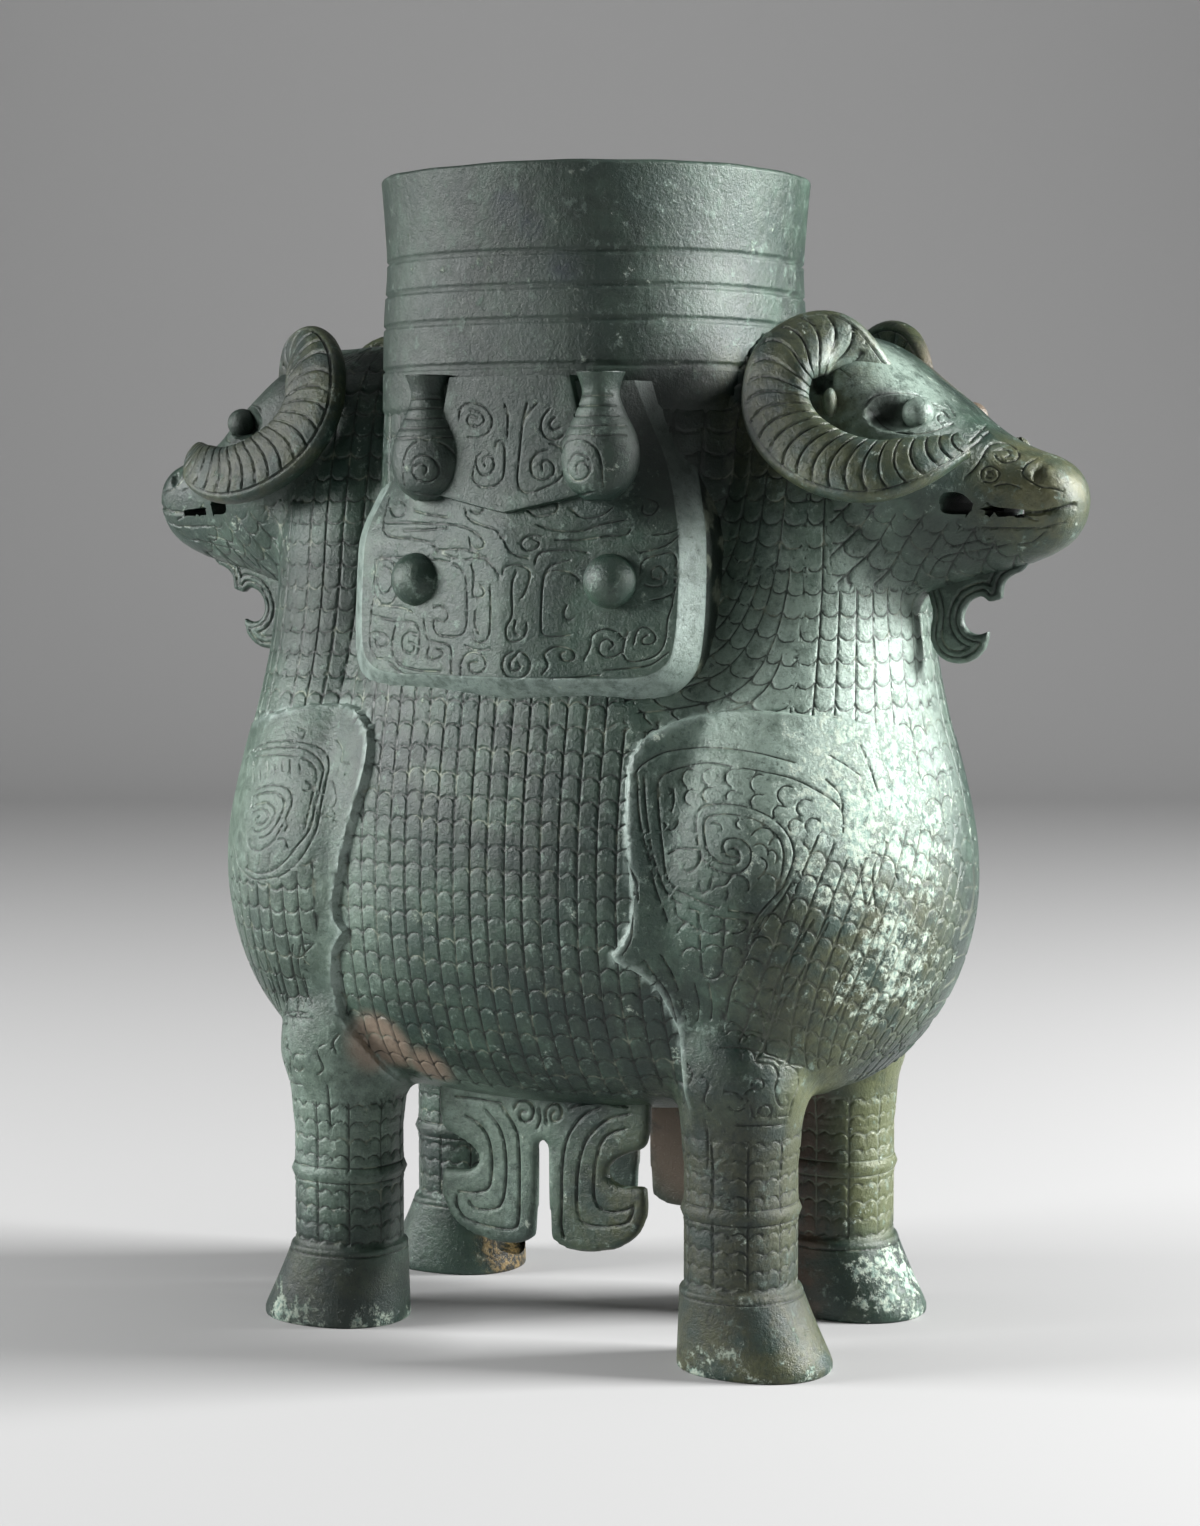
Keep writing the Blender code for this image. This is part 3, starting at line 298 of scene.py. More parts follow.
PANEL_PLUS_CURVES = [
    [(54.2, 214.6), (55.8, 218.1), (60.1, 221.4), (64.7, 223.4), (72.8, 224.3), (84.2, 224.5), (97.1, 223.2),
     (108.8, 220.3)],
    [(55.2, 215.5), (56.3, 205), (58.3, 194.6), (60.9, 186.7), (62.6, 178.9), (65.4, 171), (67.8, 164.8)],
    [(57.4, 214.6), (58.9, 204.2), (60.6, 194.6), (62, 187.6)],
    [(62.4, 209.5), (62.6, 214), (66.7, 216.9), (73.7, 218.6), (81.2, 219.4), (90.9, 218.2), (98, 217.3),
     (107.9, 215.2), (115, 211.7), (121.1, 207.3), (124.2, 202.5), (124.8, 196.5)],
    [(62.3, 210.3), (63.6, 200.8), (65.5, 190.3), (67.3, 181.6), (70.8, 177.2), (79, 173.6), (87.6, 171),
     (94.8, 169.9), (100.3, 169.2)],
    [(61.5, 189.4), (64.7, 180.7), (69.2, 173.8), (77.9, 169.9), (87.5, 167.8), (98.1, 166.9)],
    [(108, 177.1), (101.5, 169.2), (98.4, 162.5), (96.5, 155.7), (94.3, 149.3), (90.3, 142.2), (86.3, 130.3)],
    [(111.7, 180.6), (108.7, 174.5), (103.9, 167.5), (99.9, 160.7), (97, 154.8), (95.3, 150.7)],
    [(108, 177.1), (110.3, 182.3), (111.7, 189.2), (109.3, 196.1), (103.2, 202), (94.5, 205.3), (85.4, 205.7),
     (79.8, 204.1), (78.4, 199.6), (80.3, 191.9), (82.6, 186.9), (87.5, 183.6), (93.9, 182.8), (98, 185.7),
     (98.3, 190.9), (95, 194.2), (90.4, 194.2), (89.1, 191.5), (90.9, 188.8), (94, 188.2)],
    [(106.8, 177.1), (108.2, 182.3), (108.6, 190.1), (105.4, 196.5), (99.3, 200.7), (90.5, 202.5), (83.6, 201.5),
     (81.7, 198.9), (83.3, 191.2), (85.9, 187.9), (90.2, 185.9), (94.2, 186), (95.1, 188.6), (93.4, 191.2),
     (91.8, 190.7)],
    [(74.2, 217), (72.4, 217.1), (71, 216.4), (70.2, 215), (70.3, 213.3), (71.2, 211.9), (72.7, 211)],
    [(91.2, 217.6), (89.5, 217.7), (88, 216.9), (87.2, 215.6), (87.3, 213.9), (88.3, 212.5), (89.9, 211.6)],
    [(99.7, 215.9), (98.1, 216.1), (96.7, 215.3), (95.9, 213.9), (96, 212.3), (96.9, 210.8), (98.4, 209.8)],
    [(108.9, 212.1), (107.4, 212.5), (105.9, 212.1), (105, 210.9), (104.8, 209.3), (105.4, 207.7), (106.6, 206.5)],
    [(115, 207.3), (113.7, 208), (112.4, 207.9), (111.4, 207), (111, 205.5), (111.2, 203.9), (112.2, 202.6)],
    [(81.4, 217.6), (79.9, 217.2), (78.9, 216.3), (78.5, 215.1), (78.8, 213.8), (79.8, 212.6), (81.2, 212)],
    [(76.2, 210.2), (74.5, 210.3), (73.1, 209.5), (72.4, 208.2), (72.6, 206.7), (73.7, 205.5), (75.3, 204.9)],
    [(82.7, 211.2), (81.3, 211.1), (80.2, 210.3), (79.7, 209.2), (79.8, 208), (80.7, 206.9), (82, 206.2)],
    [(91.3, 210.4), (90, 210.5), (88.9, 210), (88.3, 208.9), (88.4, 207.7), (89.1, 206.6), (90.2, 205.9)],
    [(100.2, 209.2), (98.9, 209.5), (97.7, 209.1), (96.9, 208.2), (96.7, 206.9), (97.2, 205.6), (98.3, 204.7)],
    [(107.7, 205.3), (106.5, 205.8), (105.3, 205.7), (104.4, 205), (104.1, 203.8), (104.3, 202.4), (105.1, 201.4)],
    [(112.7, 200.6), (111.8, 201.3), (110.7, 201.4), (109.8, 200.9), (109.2, 199.9), (109.2, 198.6),
     (109.8, 197.5)],
    [(118.2, 200.3), (117.3, 201.3), (116.1, 201.7), (115, 201.3), (114.3, 200.4), (114.1, 199), (114.5, 197.6)],
    [(65.9, 208.2), (67.1, 209.2), (66.4, 210.7)],
    [(67.5, 210.4), (68.3, 206.1), (67.7, 202.6)],
    [(65.4, 199.1), (68.1, 196.1), (70.7, 197.8), (70.9, 200.3)],
    [(68.1, 188.2), (73.5, 190.2), (79.9, 190.2)],
    [(80.8, 190.2), (81.3, 186.6), (78.9, 183.2), (75.9, 182), (75, 183.8)],
    [(85.9, 181.4), (85, 177.4), (82.5, 175.5), (81.2, 178.5)],
    [(91.1, 174.3), (91.5, 175.8), (91, 177.3), (89.8, 178.2), (88.2, 178.4), (86.8, 177.8), (85.8, 176.5)],
    [(98, 176.9), (98.4, 179), (97.7, 180.9), (96, 182.1), (93.9, 182.2), (92.1, 181.1), (91.2, 179.2)],
    [(106.8, 178.6), (106.9, 180.3), (106.2, 181.9), (104.9, 182.8), (103.4, 183), (101.9, 182.2), (101, 180.8)],
    [(95.2, 200.8), (94.1, 201), (93.2, 200.5), (92.8, 199.6), (93.1, 198.5), (93.9, 197.8), (95, 197.7)],
    [(88.2, 197.1), (88.1, 197.8), (87.7, 198.5), (87.1, 199.1), (86.3, 199.4), (85.4, 199.4), (84.7, 199.1)],
    [(105.3, 195.7), (104.4, 197), (103.1, 198), (101.6, 198.3), (100.2, 197.9), (99, 197), (98.3, 195.6)],
    [(103.8, 189.1), (103.8, 190.3), (103.4, 191.5), (102.5, 192.4), (101.4, 192.9), (100.1, 192.8), (99.1, 192.2)],
    [(106.6, 187.1), (106.8, 188.1), (106.6, 189.3), (106, 190.2), (105.1, 190.8), (104.1, 190.9), (103.1, 190.6)],
    [(108.1, 192.7), (107.8, 193.8), (107, 194.6), (105.9, 194.9), (104.9, 194.6), (104.2, 193.8), (104.1, 192.6)],
    [(102.7, 183.5), (103.4, 184.2), (103.8, 185.2), (103.7, 186.2), (103.3, 187.2), (102.6, 187.9),
     (101.6, 188.3)],
    [(80.9, 168.4), (80.9, 158.5), (80.4, 146.6)],
    [(89.8, 166.9), (89.4, 159), (87.2, 146.7)],
    [(98.1, 166.5), (96.7, 156.6), (94.3, 148.8)],
    [(71.8, 172.2), (72.2, 166.9), (76.7, 165.2)],
    [(81.2, 164.8), (81.9, 163.1), (83.5, 162), (85.4, 161.7), (87.4, 162.2), (88.9, 163.5), (89.8, 165.3)],
    [(89.9, 165.3), (90.6, 163.7), (91.9, 162.6), (93.6, 162.3), (95.4, 162.7), (96.8, 163.9), (97.5, 165.6)],
    [(80, 161.8), (79.4, 163.3), (78, 164.2), (76.2, 164.5), (74.3, 164), (72.8, 162.8), (72, 161.2)],
    [(89, 155.1), (88.5, 156.6), (87.3, 157.6), (85.6, 157.9), (83.8, 157.4), (82.3, 156.3), (81.5, 154.7)],
    [(95.3, 155.3), (94.9, 156.7), (93.9, 157.6), (92.5, 157.9), (91, 157.5), (89.7, 156.5), (89, 155.1)],
    [(80.7, 153.7), (80.2, 155.2), (78.9, 156.2), (77.1, 156.4), (75.2, 155.9), (73.7, 154.7), (72.8, 153.1)],
    [(80.8, 148), (81.2, 146.7), (82.3, 145.8), (83.7, 145.6), (85.3, 146), (86.6, 147.1), (87.3, 148.4)],
    [(88.1, 149.4), (88.6, 148.1), (89.6, 147.2), (91, 147), (92.4, 147.4), (93.6, 148.3), (94.2, 149.7)],
    [(58.7, 151.1), (62.6, 144.9), (66.2, 138.6), (67.7, 129.3)],
    [(64.8, 153.1), (68.2, 145.9), (70, 138.6), (71.1, 129.4)],
    [(53, 185.7), (56.6, 178.7), (57.5, 171.7)],
    [(56.5, 180.5), (57.3, 177), (55.8, 173.4)],
    [(55.7, 166.3), (54.7, 158.2), (51.8, 152.7)],
    [(76.5, 143.6), (77, 137.1), (75.6, 129.6)],
    [(82.5, 144), (82.3, 136.6), (80.8, 129.9)],
    [(134.2, 168.9), (133.3, 182.2), (134.9, 187.9), (137.7, 185.9), (138.9, 178.8)],
    [(130.3, 185), (131, 176.3), (132.1, 170)],
    [(117.8, 223.2), (122.9, 219.6), (127.1, 215.9)],
    [(125.8, 226.2), (129.1, 218.3), (131.8, 210.5)],
    [(118.2, 214.6), (122.8, 209.4), (124, 203.4)]]
FAN_CURVES = [
    [(117.5, 166.5), (111.9, 156.8), (106.6, 147.7), (102.6, 137.5), (100.1, 129.9)],
    [(121.7, 165.4), (116.6, 154.9), (111.4, 145.9), (106.7, 138.5), (102.9, 130)],
    [(127.3, 149.6), (122.4, 140.7), (117, 130.5)],
    [(128.9, 147.6), (124.4, 138.6), (119.3, 130.3)]]
FAN_ZONE = [
    (101.4, 166.5), (108.7, 173.6), (112.5, 180.6), (112.6, 192.6), (118.7, 196.8), (124.5, 192.3), (127.2, 187.2),
    (140, 196), (156, 196), (168, 176), (160, 140), (140, 116), (112, 108), (92, 116), (86.9, 129.4), (95.7, 150.3)]
PANEL_MINUS_CURVES = [
    [(-117.2, 216), (-108.5, 219.4), (-98.5, 221.4), (-88.6, 221.4), (-80.6, 220.1), (-75.8, 217.7), (-73.4, 213.9),
     (-73.7, 206.8), (-74.7, 199.5), (-75.7, 190.3), (-78.8, 183.7), (-82.3, 178.8), (-87.9, 174), (-95.2, 171.6),
     (-103.5, 170.5), (-111, 172.1), (-116.1, 175.3), (-118.4, 179.8)],
    [(-121.3, 213.3), (-109.6, 217.5), (-97.9, 219.1), (-86.9, 219.1), (-80.4, 216.8), (-76, 212.6), (-76, 206.7),
     (-77.1, 198.5), (-78.4, 190.2), (-83.5, 183.5), (-87.9, 178.5), (-93.8, 174.5), (-101.9, 172.8),
     (-109.6, 174.1)],
    [(-110.6, 215.3), (-97.1, 216.4), (-86.1, 215.9), (-80.3, 213.2), (-78.1, 209.2), (-78.5, 203.9),
     (-79.4, 197.5), (-80.2, 191)],
    [(-116.4, 211.7), (-114.7, 207.8)],
    [(-111.7, 213), (-109.2, 205.8)],
    [(-106.6, 213.6), (-104.7, 207)],
    [(-102, 213.8), (-100.9, 209.8)],
    [(-98.1, 214.8), (-96.7, 209.4)],
    [(-94.1, 214.7), (-93.1, 210.7)],
    [(-90.4, 214.4), (-89.4, 209.9)],
    [(-86.1, 213.5), (-84.7, 209.2)],
    [(-106.5, 203.2), (-97.1, 205.4), (-89.4, 204.4), (-86.8, 200.9), (-87.1, 197.2), (-88.8, 193.2),
     (-90.8, 189.5), (-94, 184.6), (-100.5, 181.4), (-106.4, 181.8), (-109, 184.6)],
    [(-108.1, 200.3), (-100.6, 202.4), (-93.9, 202.4), (-90.1, 199.8), (-90.4, 195.9), (-93.3, 190.2), (-98, 186.4),
     (-103.6, 185.8)],
    [(-110, 195.7), (-104, 198), (-98.2, 198.8), (-94.2, 196.8), (-94.3, 192.9), (-97.1, 190), (-102.4, 187.9),
     (-106.4, 189.5)],
    [(-106.6, 195), (-100.7, 196.4), (-97.1, 194.8), (-98, 192), (-102, 190.8), (-104.4, 192), (-101.7, 193.9)],
    [(-70.9, 222.9), (-66.7, 219.5), (-66.5, 215.4), (-61.8, 214.6)],
    [(-70.3, 207.9), (-67.1, 202.1), (-69.1, 197.9), (-66.4, 195.3)],
    [(-76.4, 196.7), (-71, 195), (-66.3, 193.3)],
    [(-68.5, 211.6), (-64, 210.8)],
    [(-82.2, 207.4), (-79.9, 206.2), (-80.5, 203.8), (-82.7, 204.2)],
    [(-89.9, 226.4), (-86.2, 225.6), (-87.1, 222.3)],
    [(-90, 193.4), (-87.5, 191.7), (-88.4, 189.3)],
    [(-91.6, 185.9), (-88.1, 186.1), (-86.8, 182.4)],
    [(-100.4, 179.7), (-101.1, 174.9)],
    [(-95.1, 180.1), (-95.3, 175.9)],
    [(-107.9, 179), (-107.9, 175.3)],
    [(-119.8, 170.1), (-111, 156.7), (-102.6, 142.9), (-100.1, 133.1), (-97.3, 118.4)],
    [(-124.3, 167.5), (-116.3, 155), (-107.9, 141.2), (-104.3, 130.5), (-105.4, 115.6)],
    [(-87.3, 148.2), (-90.1, 138.1), (-89.7, 129.2), (-86.3, 121.8)],
    [(-83.9, 148.4), (-87, 139.4), (-86, 129.5), (-82.8, 124)],
    [(-83.6, 147.5), (-79.2, 148.2), (-84.5, 143), (-82, 139.7)],
    [(-95.1, 117.7), (-82.4, 118)]]
MINUS_ZONE = [
    (-103.5, 169.5), (-94, 170.6), (-85.7, 173.2), (-79.2, 179.1), (-75.2, 179.2), (-76.4, 167.9), (-76.3, 157.5),
    (-80.3, 150.5), (-84.5, 140.1), (-88, 116), (-110, 110), (-140, 122), (-158, 150), (-160, 176), (-140, 184),
    (-124, 180), (-116, 174), (-111, 170.8)]
MOUTH_LINE = [(176, 307.4), (182, 307.8), (188, 309.2), (191.5, 310.5)]
HEAD_CURVES = [
    [(93, 367.7), (98.1, 362.9)],
    [(95.5, 367.7), (101, 362.9)],
    [(97.7, 367.7), (105.6, 361.9)],
    [(99.9, 367.7), (110.5, 360.6)],
    [(101.9, 368.7), (110.9, 363.4)],
    [(107, 369), (108.6, 365.4), (112.6, 361.3)],
    [(102.5, 361), (110.2, 359.9), (117.7, 355.1)],
    [(125, 346.1), (127.4, 348.6), (133.9, 349.7), (139.2, 348.8), (143.9, 345.9), (149.7, 342.9)],
    [(125.9, 344.2), (129.8, 339.1), (134.9, 336), (141.2, 335), (146.2, 336), (151, 338.8)],
    [(148.7, 340.8), (148.1, 341.7), (147.4, 342.3), (146.8, 342.2), (146.5, 341.5), (146.7, 340.6), (147.3, 339.7),
     (148, 339.3), (148.6, 339.5)],
    [(145.5, 344), (145.3, 344.8), (144.8, 345.5), (144.2, 345.8), (144, 345.5), (144, 344.8), (144.5, 344)],
    [(146.5, 345.6), (148.2, 344.3), (150.5, 341.5)],
    [(141.2, 345.3), (142.4, 346.8), (146.6, 343.7), (149.4, 341)],
    [(156.9, 329.5), (159.6, 332.9), (160.3, 336.1)],
    [(156.6, 319.7), (159.8, 323.2), (161.7, 327.3), (162.8, 331.2), (165.6, 332.3), (170.8, 329.8), (172.7, 326.9),
     (169.2, 325), (165.8, 326.9), (165.6, 329.4), (168.2, 329.6), (169.9, 327.8), (168.3, 327.1)],
    [(161.8, 319.7), (162.2, 322.9), (165.1, 323.8), (167.9, 321.2), (165.8, 318.2), (162.6, 318.5)],
    [(165.7, 320.9), (165.4, 321.7), (164.7, 322.1), (164.1, 322.1), (163.6, 321.6), (163.4, 320.8), (163.8, 320.1),
     (164.4, 319.7), (165.1, 319.9)],
    [(166.2, 316.8), (170.3, 317.7), (174.9, 316.2)],
    [(157.1, 332.2), (158.4, 336.7), (157.7, 338.7)],
    [(178.1, 326.5), (175.8, 324.3), (175.3, 321.2), (177.4, 319), (181.6, 316.6), (185.2, 316.2), (188.2, 315.1)],
    [(163.6, 311.2), (165.9, 309.3), (174.1, 307), (179.8, 304.9)],
    [(160.4, 302.4), (167.8, 302.2), (180.4, 302.3), (188.3, 304.2)],
    [(140.4, 285.5), (146.5, 291.8), (154.8, 293.6), (164.1, 295.2), (171.2, 297.1)],
    [(149.6, 295.4), (156.3, 297.1), (164.8, 298.9)],
    [(181.7, 300.7), (177, 297.2), (171, 296.3)]]
LEG_TOP_CURVES = [
    [(84.2, 119.5), (90.2, 119.7), (96.4, 118.3), (101.7, 115.4), (103, 114.1)],
    [(98.8, 137.5), (98.9, 128), (97.3, 118.7)],
    [(97.3, 106.5), (97.4, 107.6), (96.9, 108.6), (96, 109.1), (95.1, 109), (94.4, 108.2), (94.2, 107.1),
     (94.6, 106.1), (95.4, 105.4), (96.3, 105.3), (97.1, 105.9)],
    [(95.2, 114.4), (99.3, 113.4), (100.7, 109.6), (100.2, 105.3), (101, 99.7), (102.3, 98), (103, 100.1),
     (102.4, 102.6)],
    [(99.5, 97.2), (99.3, 98.5), (98.7, 99.4), (97.7, 99.8), (96.8, 99.3), (96.1, 98.3), (96, 97), (96.5, 95.8),
     (97.3, 95.1), (98.3, 95.1), (99.1, 95.7)],
    [(94.5, 94.8), (99.4, 94.7), (102.6, 94.6)],
    [(89.6, 92.2), (96.6, 91.8), (102, 91.3), (102.3, 92.9)],
    [(95.5, 106.5), (92.4, 103.9), (93.9, 100.3), (94.5, 95.7)],
    [(86.4, 104.6), (90.7, 103.8), (92.3, 99.4), (89.8, 97.5), (87.2, 99.2)],
    [(77.8, 109.3), (80.8, 106.8), (78.6, 100.3), (81.5, 97)],
    [(72.5, 113.2), (74.6, 109.8), (73.4, 106.1)],
    [(102.3, 112.8), (104.3, 111.4), (104.5, 105.7), (103.6, 99.8), (103, 94.4)],
    [(85.9, 135), (84.9, 124.8)],
    [(92.3, 124.4), (91.7, 125.7), (90.6, 126.5), (89.3, 126.7), (87.9, 126.4), (86.7, 125.5), (86, 124.3)],
    [(96.9, 122.8), (96.7, 124.1), (96, 125.1), (95, 125.5), (93.7, 125.3), (92.7, 124.4), (92.1, 123.2)],
    [(78.3, 93), (78.2, 82.1), (78, 69.1)]]
PENDANT_CURVES = [
    [(-16.5, 86.2), (-12.8, 81.6), (-9.9, 75.9), (-9.1, 66.3), (-9.1, 55.8), (-9.5, 43.7), (-11.6, 40.2),
     (-17.1, 39.6), (-24.7, 40.3), (-32.3, 42.2), (-35.7, 46.4), (-36.1, 50.6)],
    [(-23.7, 84.5), (-18.2, 78.9), (-15.5, 72.4), (-14.7, 62.8), (-15.4, 53.7), (-17.5, 48.2), (-22.1, 46.4),
     (-28, 46.4), (-30.6, 48.8)],
    [(-31.7, 81.2), (-26.3, 78.6), (-22.5, 74.1), (-20.8, 66.7), (-21.1, 58.4), (-22.9, 54.1), (-28, 52.3),
     (-34.8, 52.2)],
    [(24.3, 89.2), (17.8, 85.7), (12.5, 79.4), (10, 73.2), (8.8, 64.9), (8.6, 51.5), (8.4, 43.3), (9.6, 38.9)],
    [(36.5, 87.7), (28.4, 85.2), (21.1, 79.4), (17.4, 73.1), (15.3, 64), (14.9, 52.9), (16.2, 47), (19.4, 44.8),
     (26.8, 44.8), (34.9, 46.7), (37.5, 50), (38.3, 53.8)],
    [(34.9, 82), (28.4, 79.6), (24.7, 75.3), (22.7, 67.7), (21.9, 58.7), (23.1, 52.9), (27.6, 50.4), (34.1, 51.4),
     (37.9, 53.4)],
    [(-11.1, 86.3), (-9.4, 88.5), (-5.3, 88.8), (-3.2, 86.2), (-4, 82.4), (-7, 81), (-9, 82.7), (-8.2, 85),
     (-6.1, 84.8)],
    [(2.6, 81.1), (1.8, 85.1), (3.8, 88.3), (7.1, 88.9), (8.6, 86.4), (7.8, 83.4), (5.1, 82.3), (4, 84.2),
     (5.5, 86)],
    [(-1.6, 79.3), (-0.3, 82.7), (-0.7, 86.4)],
    [(-36.4, 88.3), (-28.8, 88.2), (-20.3, 87.6), (-17, 87.3)],
    [(12.1, 87.5), (16.2, 89.7), (24.3, 91.3), (35.7, 90.2)]]


# Small tools

def between(rows, steps):
    """Smooth rows through the given rows of numbers."""
    rows = np.array(rows, float)
    result = []
    for index in range(len(rows) - 1):
        a, d = rows[max(index - 1, 0)], rows[min(index + 2, len(rows) - 1)]
        b, c = rows[index], rows[index + 1]
        for step in range(steps):
            t = step / steps
            result.append(0.5 * (2 * b + (c - a) * t + (2 * a - 5 * b + 4 * c - d) * t * t
                                 + (3 * b - a - 3 * c + d) * t ** 3))
    return np.array(result + [rows[-1]])


def outline_of(runs, steps=6):
    """A closed outline from smooth runs that meet in corners: each starts where the one before ends."""
    result = []
    for before, run in zip([runs[-1]] + runs, runs):
        result.append(between([before[-1]] + run, steps if len(run) > 1 else 1)[:-1])
    return np.concatenate(result)


def ramp(value, low, high):
    """0 at low, 1 at high and smooth between."""
    t = np.clip((value - low) / (high - low), 0, 1)
    return t * t * (3 - 2 * t)


def rounded(half_a, half_b, power, count):
    """Points round a rounded rectangle: power 2 is an ellipse, and more is squarer."""
    angle = 2 * np.pi * np.arange(count) / count
    c, s = np.cos(angle), np.sin(angle)
    return np.stack([half_a * np.sign(c) * np.abs(c) ** (2 / power),
                     half_b * np.sign(s) * np.abs(s) ** (2 / power)], 1)


def level_ring(x, y, z, half_x, half_y, power, count):
    loop = rounded(half_x, half_y, power, count)
    return np.column_stack([x + loop[:, 0], y + loop[:, 1], np.full(count, float(z))])


def loft(rings, closed=True):
    """Points and triangles of a skin through rings that turn the same way."""
    count = len(rings[0])
    points = np.concatenate(rings)
    k = np.arange(count)
    after = (k + 1) % count
    faces = []
    for low in range(0, (len(rings) - 1) * count, count):
        high = low + count
        faces += [np.column_stack([low + k, low + after, high + after]),
                  np.column_stack([low + k, high + after, high + k])]
    if closed:
        fan = np.column_stack([np.zeros(count - 2, int), k[1:-1], k[2:]])
        faces += [fan[:, ::-1], fan + (len(rings) - 1) * count]
    faces = np.concatenate(faces)
    a, b, c = points[faces[:, 0]], points[faces[:, 1]], points[faces[:, 2]]
    if closed and np.einsum('ij,ij->i', a, np.cross(b, c)).sum() < 0:
        faces = faces[:, ::-1]
    return points, faces


def ball(middle, radii, rings):
    """A closed ball or egg."""
    rows = []
    for k in range(rings + 1):
        angle = math.pi * (k / rings - 0.5)
        loop = rounded(1, 1, 2, rings * 2) * max(math.cos(angle), 0.02)
        rows.append(np.column_stack([loop[:, 0] * radii[0], loop[:, 1] * radii[1],
                                     np.full(rings * 2, math.sin(angle) * radii[2])]))
    points, faces = loft(rows)
    return points + middle, faces


def half_turned(shell):
    return shell[0] * HALF_TURN, shell[1]


def object_from(name, points, faces):
    mesh = bpy.data.meshes.new(name)
    mesh.vertices.add(len(points))
    mesh.vertices.foreach_set('co', (points * MM).astype(np.float32).ravel())
    mesh.loops.add(len(faces) * 3)
    mesh.loops.foreach_set('vertex_index', faces.astype(np.int32).ravel())
    mesh.polygons.add(len(faces))
    mesh.polygons.foreach_set('loop_start', np.arange(len(faces), dtype=np.int32) * 3)
    mesh.update(calc_edges=True)
    item = bpy.data.objects.new(name, mesh)
    bpy.context.scene.collection.objects.link(item)
    return item


def skin_over(shells, voxel, smoothing):
    """One smooth closed skin round overlapping shells."""
    starts = np.cumsum([0] + [len(points) for points, _ in shells])
    item = object_from('skin', np.concatenate([points for points, _ in shells]),
                       np.concatenate([faces + start for (_, faces), start in zip(shells, starts)]))
    remesh = item.modifiers.new('voxels', 'REMESH')
    remesh.mode = 'VOXEL'
    remesh.voxel_size = voxel * MM
    smooth = item.modifiers.new('smoothing', 'SMOOTH')
    smooth.factor = 0.5
    smooth.iterations = smoothing
    graph = bpy.context.evaluated_depsgraph_get()
    mesh = item.evaluated_get(graph).to_mesh()
    mesh.calc_loop_triangles()
    points = np.zeros(len(mesh.vertices) * 3, np.float32)
    mesh.vertices.foreach_get('co', points)
    triangles = np.zeros(len(mesh.loop_triangles) * 3, np.int32)
    mesh.loop_triangles.foreach_get('vertices', triangles)
    bpy.data.objects.remove(item)
    return points.reshape(-1, 3).astype(float) / MM, triangles.reshape(-1, 3).astype(np.int64)


def normals_of(points, triangles):
    """Point normals, weighted by area."""
    a, b, c = points[triangles[:, 0]], points[triangles[:, 1]], points[triangles[:, 2]]
    face = np.cross(b - a, c - a)
    result = np.zeros_like(points)
    for axis in range(3):
        for k in range(3):
            result[:, axis] += np.bincount(triangles[:, k], face[:, axis], len(points))
    return result / np.maximum(np.linalg.norm(result, axis=1, keepdims=True), 1e-12)


def inside(points, outline):
    """Which (x, z) points lie inside a closed outline."""
    x, z = points[:, 0], points[:, 1]
    result = np.zeros(len(points), bool)
    for (ax, az), (bx, bz) in zip(outline, np.roll(outline, -1, 0)):
        if az != bz:
            result ^= ((az > z) != (bz > z)) & (x < (bx - ax) * (z - az) / (bz - az) + ax)
    return result


def outline_distance(points, outline):
    """Distance of (x, z) points from a closed outline: negative inside."""
    nearest = np.full(len(points), 1e9)
    for a, b in zip(outline, np.roll(outline, -1, 0)):
        along = b - a
        size = along @ along
        if size:
            offset = points - a
            gap = offset - np.clip(offset @ along / size, 0, 1)[:, None] * along
            nearest = np.minimum(nearest, np.einsum('ij,ij->i', gap, gap))
    return np.sqrt(nearest) * np.where(inside(points, outline), -1, 1)


def front_of(shell):
    """A function that gives Y of a shell's near side at (x, z), or None beside it."""
    tree = BVHTree.FromPolygons(shell[0].tolist(), shell[1].tolist())

    def depth(x, z):
        place = tree.ray_cast(Vector((x, -300, z)), Vector((0, 1, 0)))[0]
        return None if place is None or place.y > 5 else place.y

    return depth


# A skin that can be cut along lines and carved

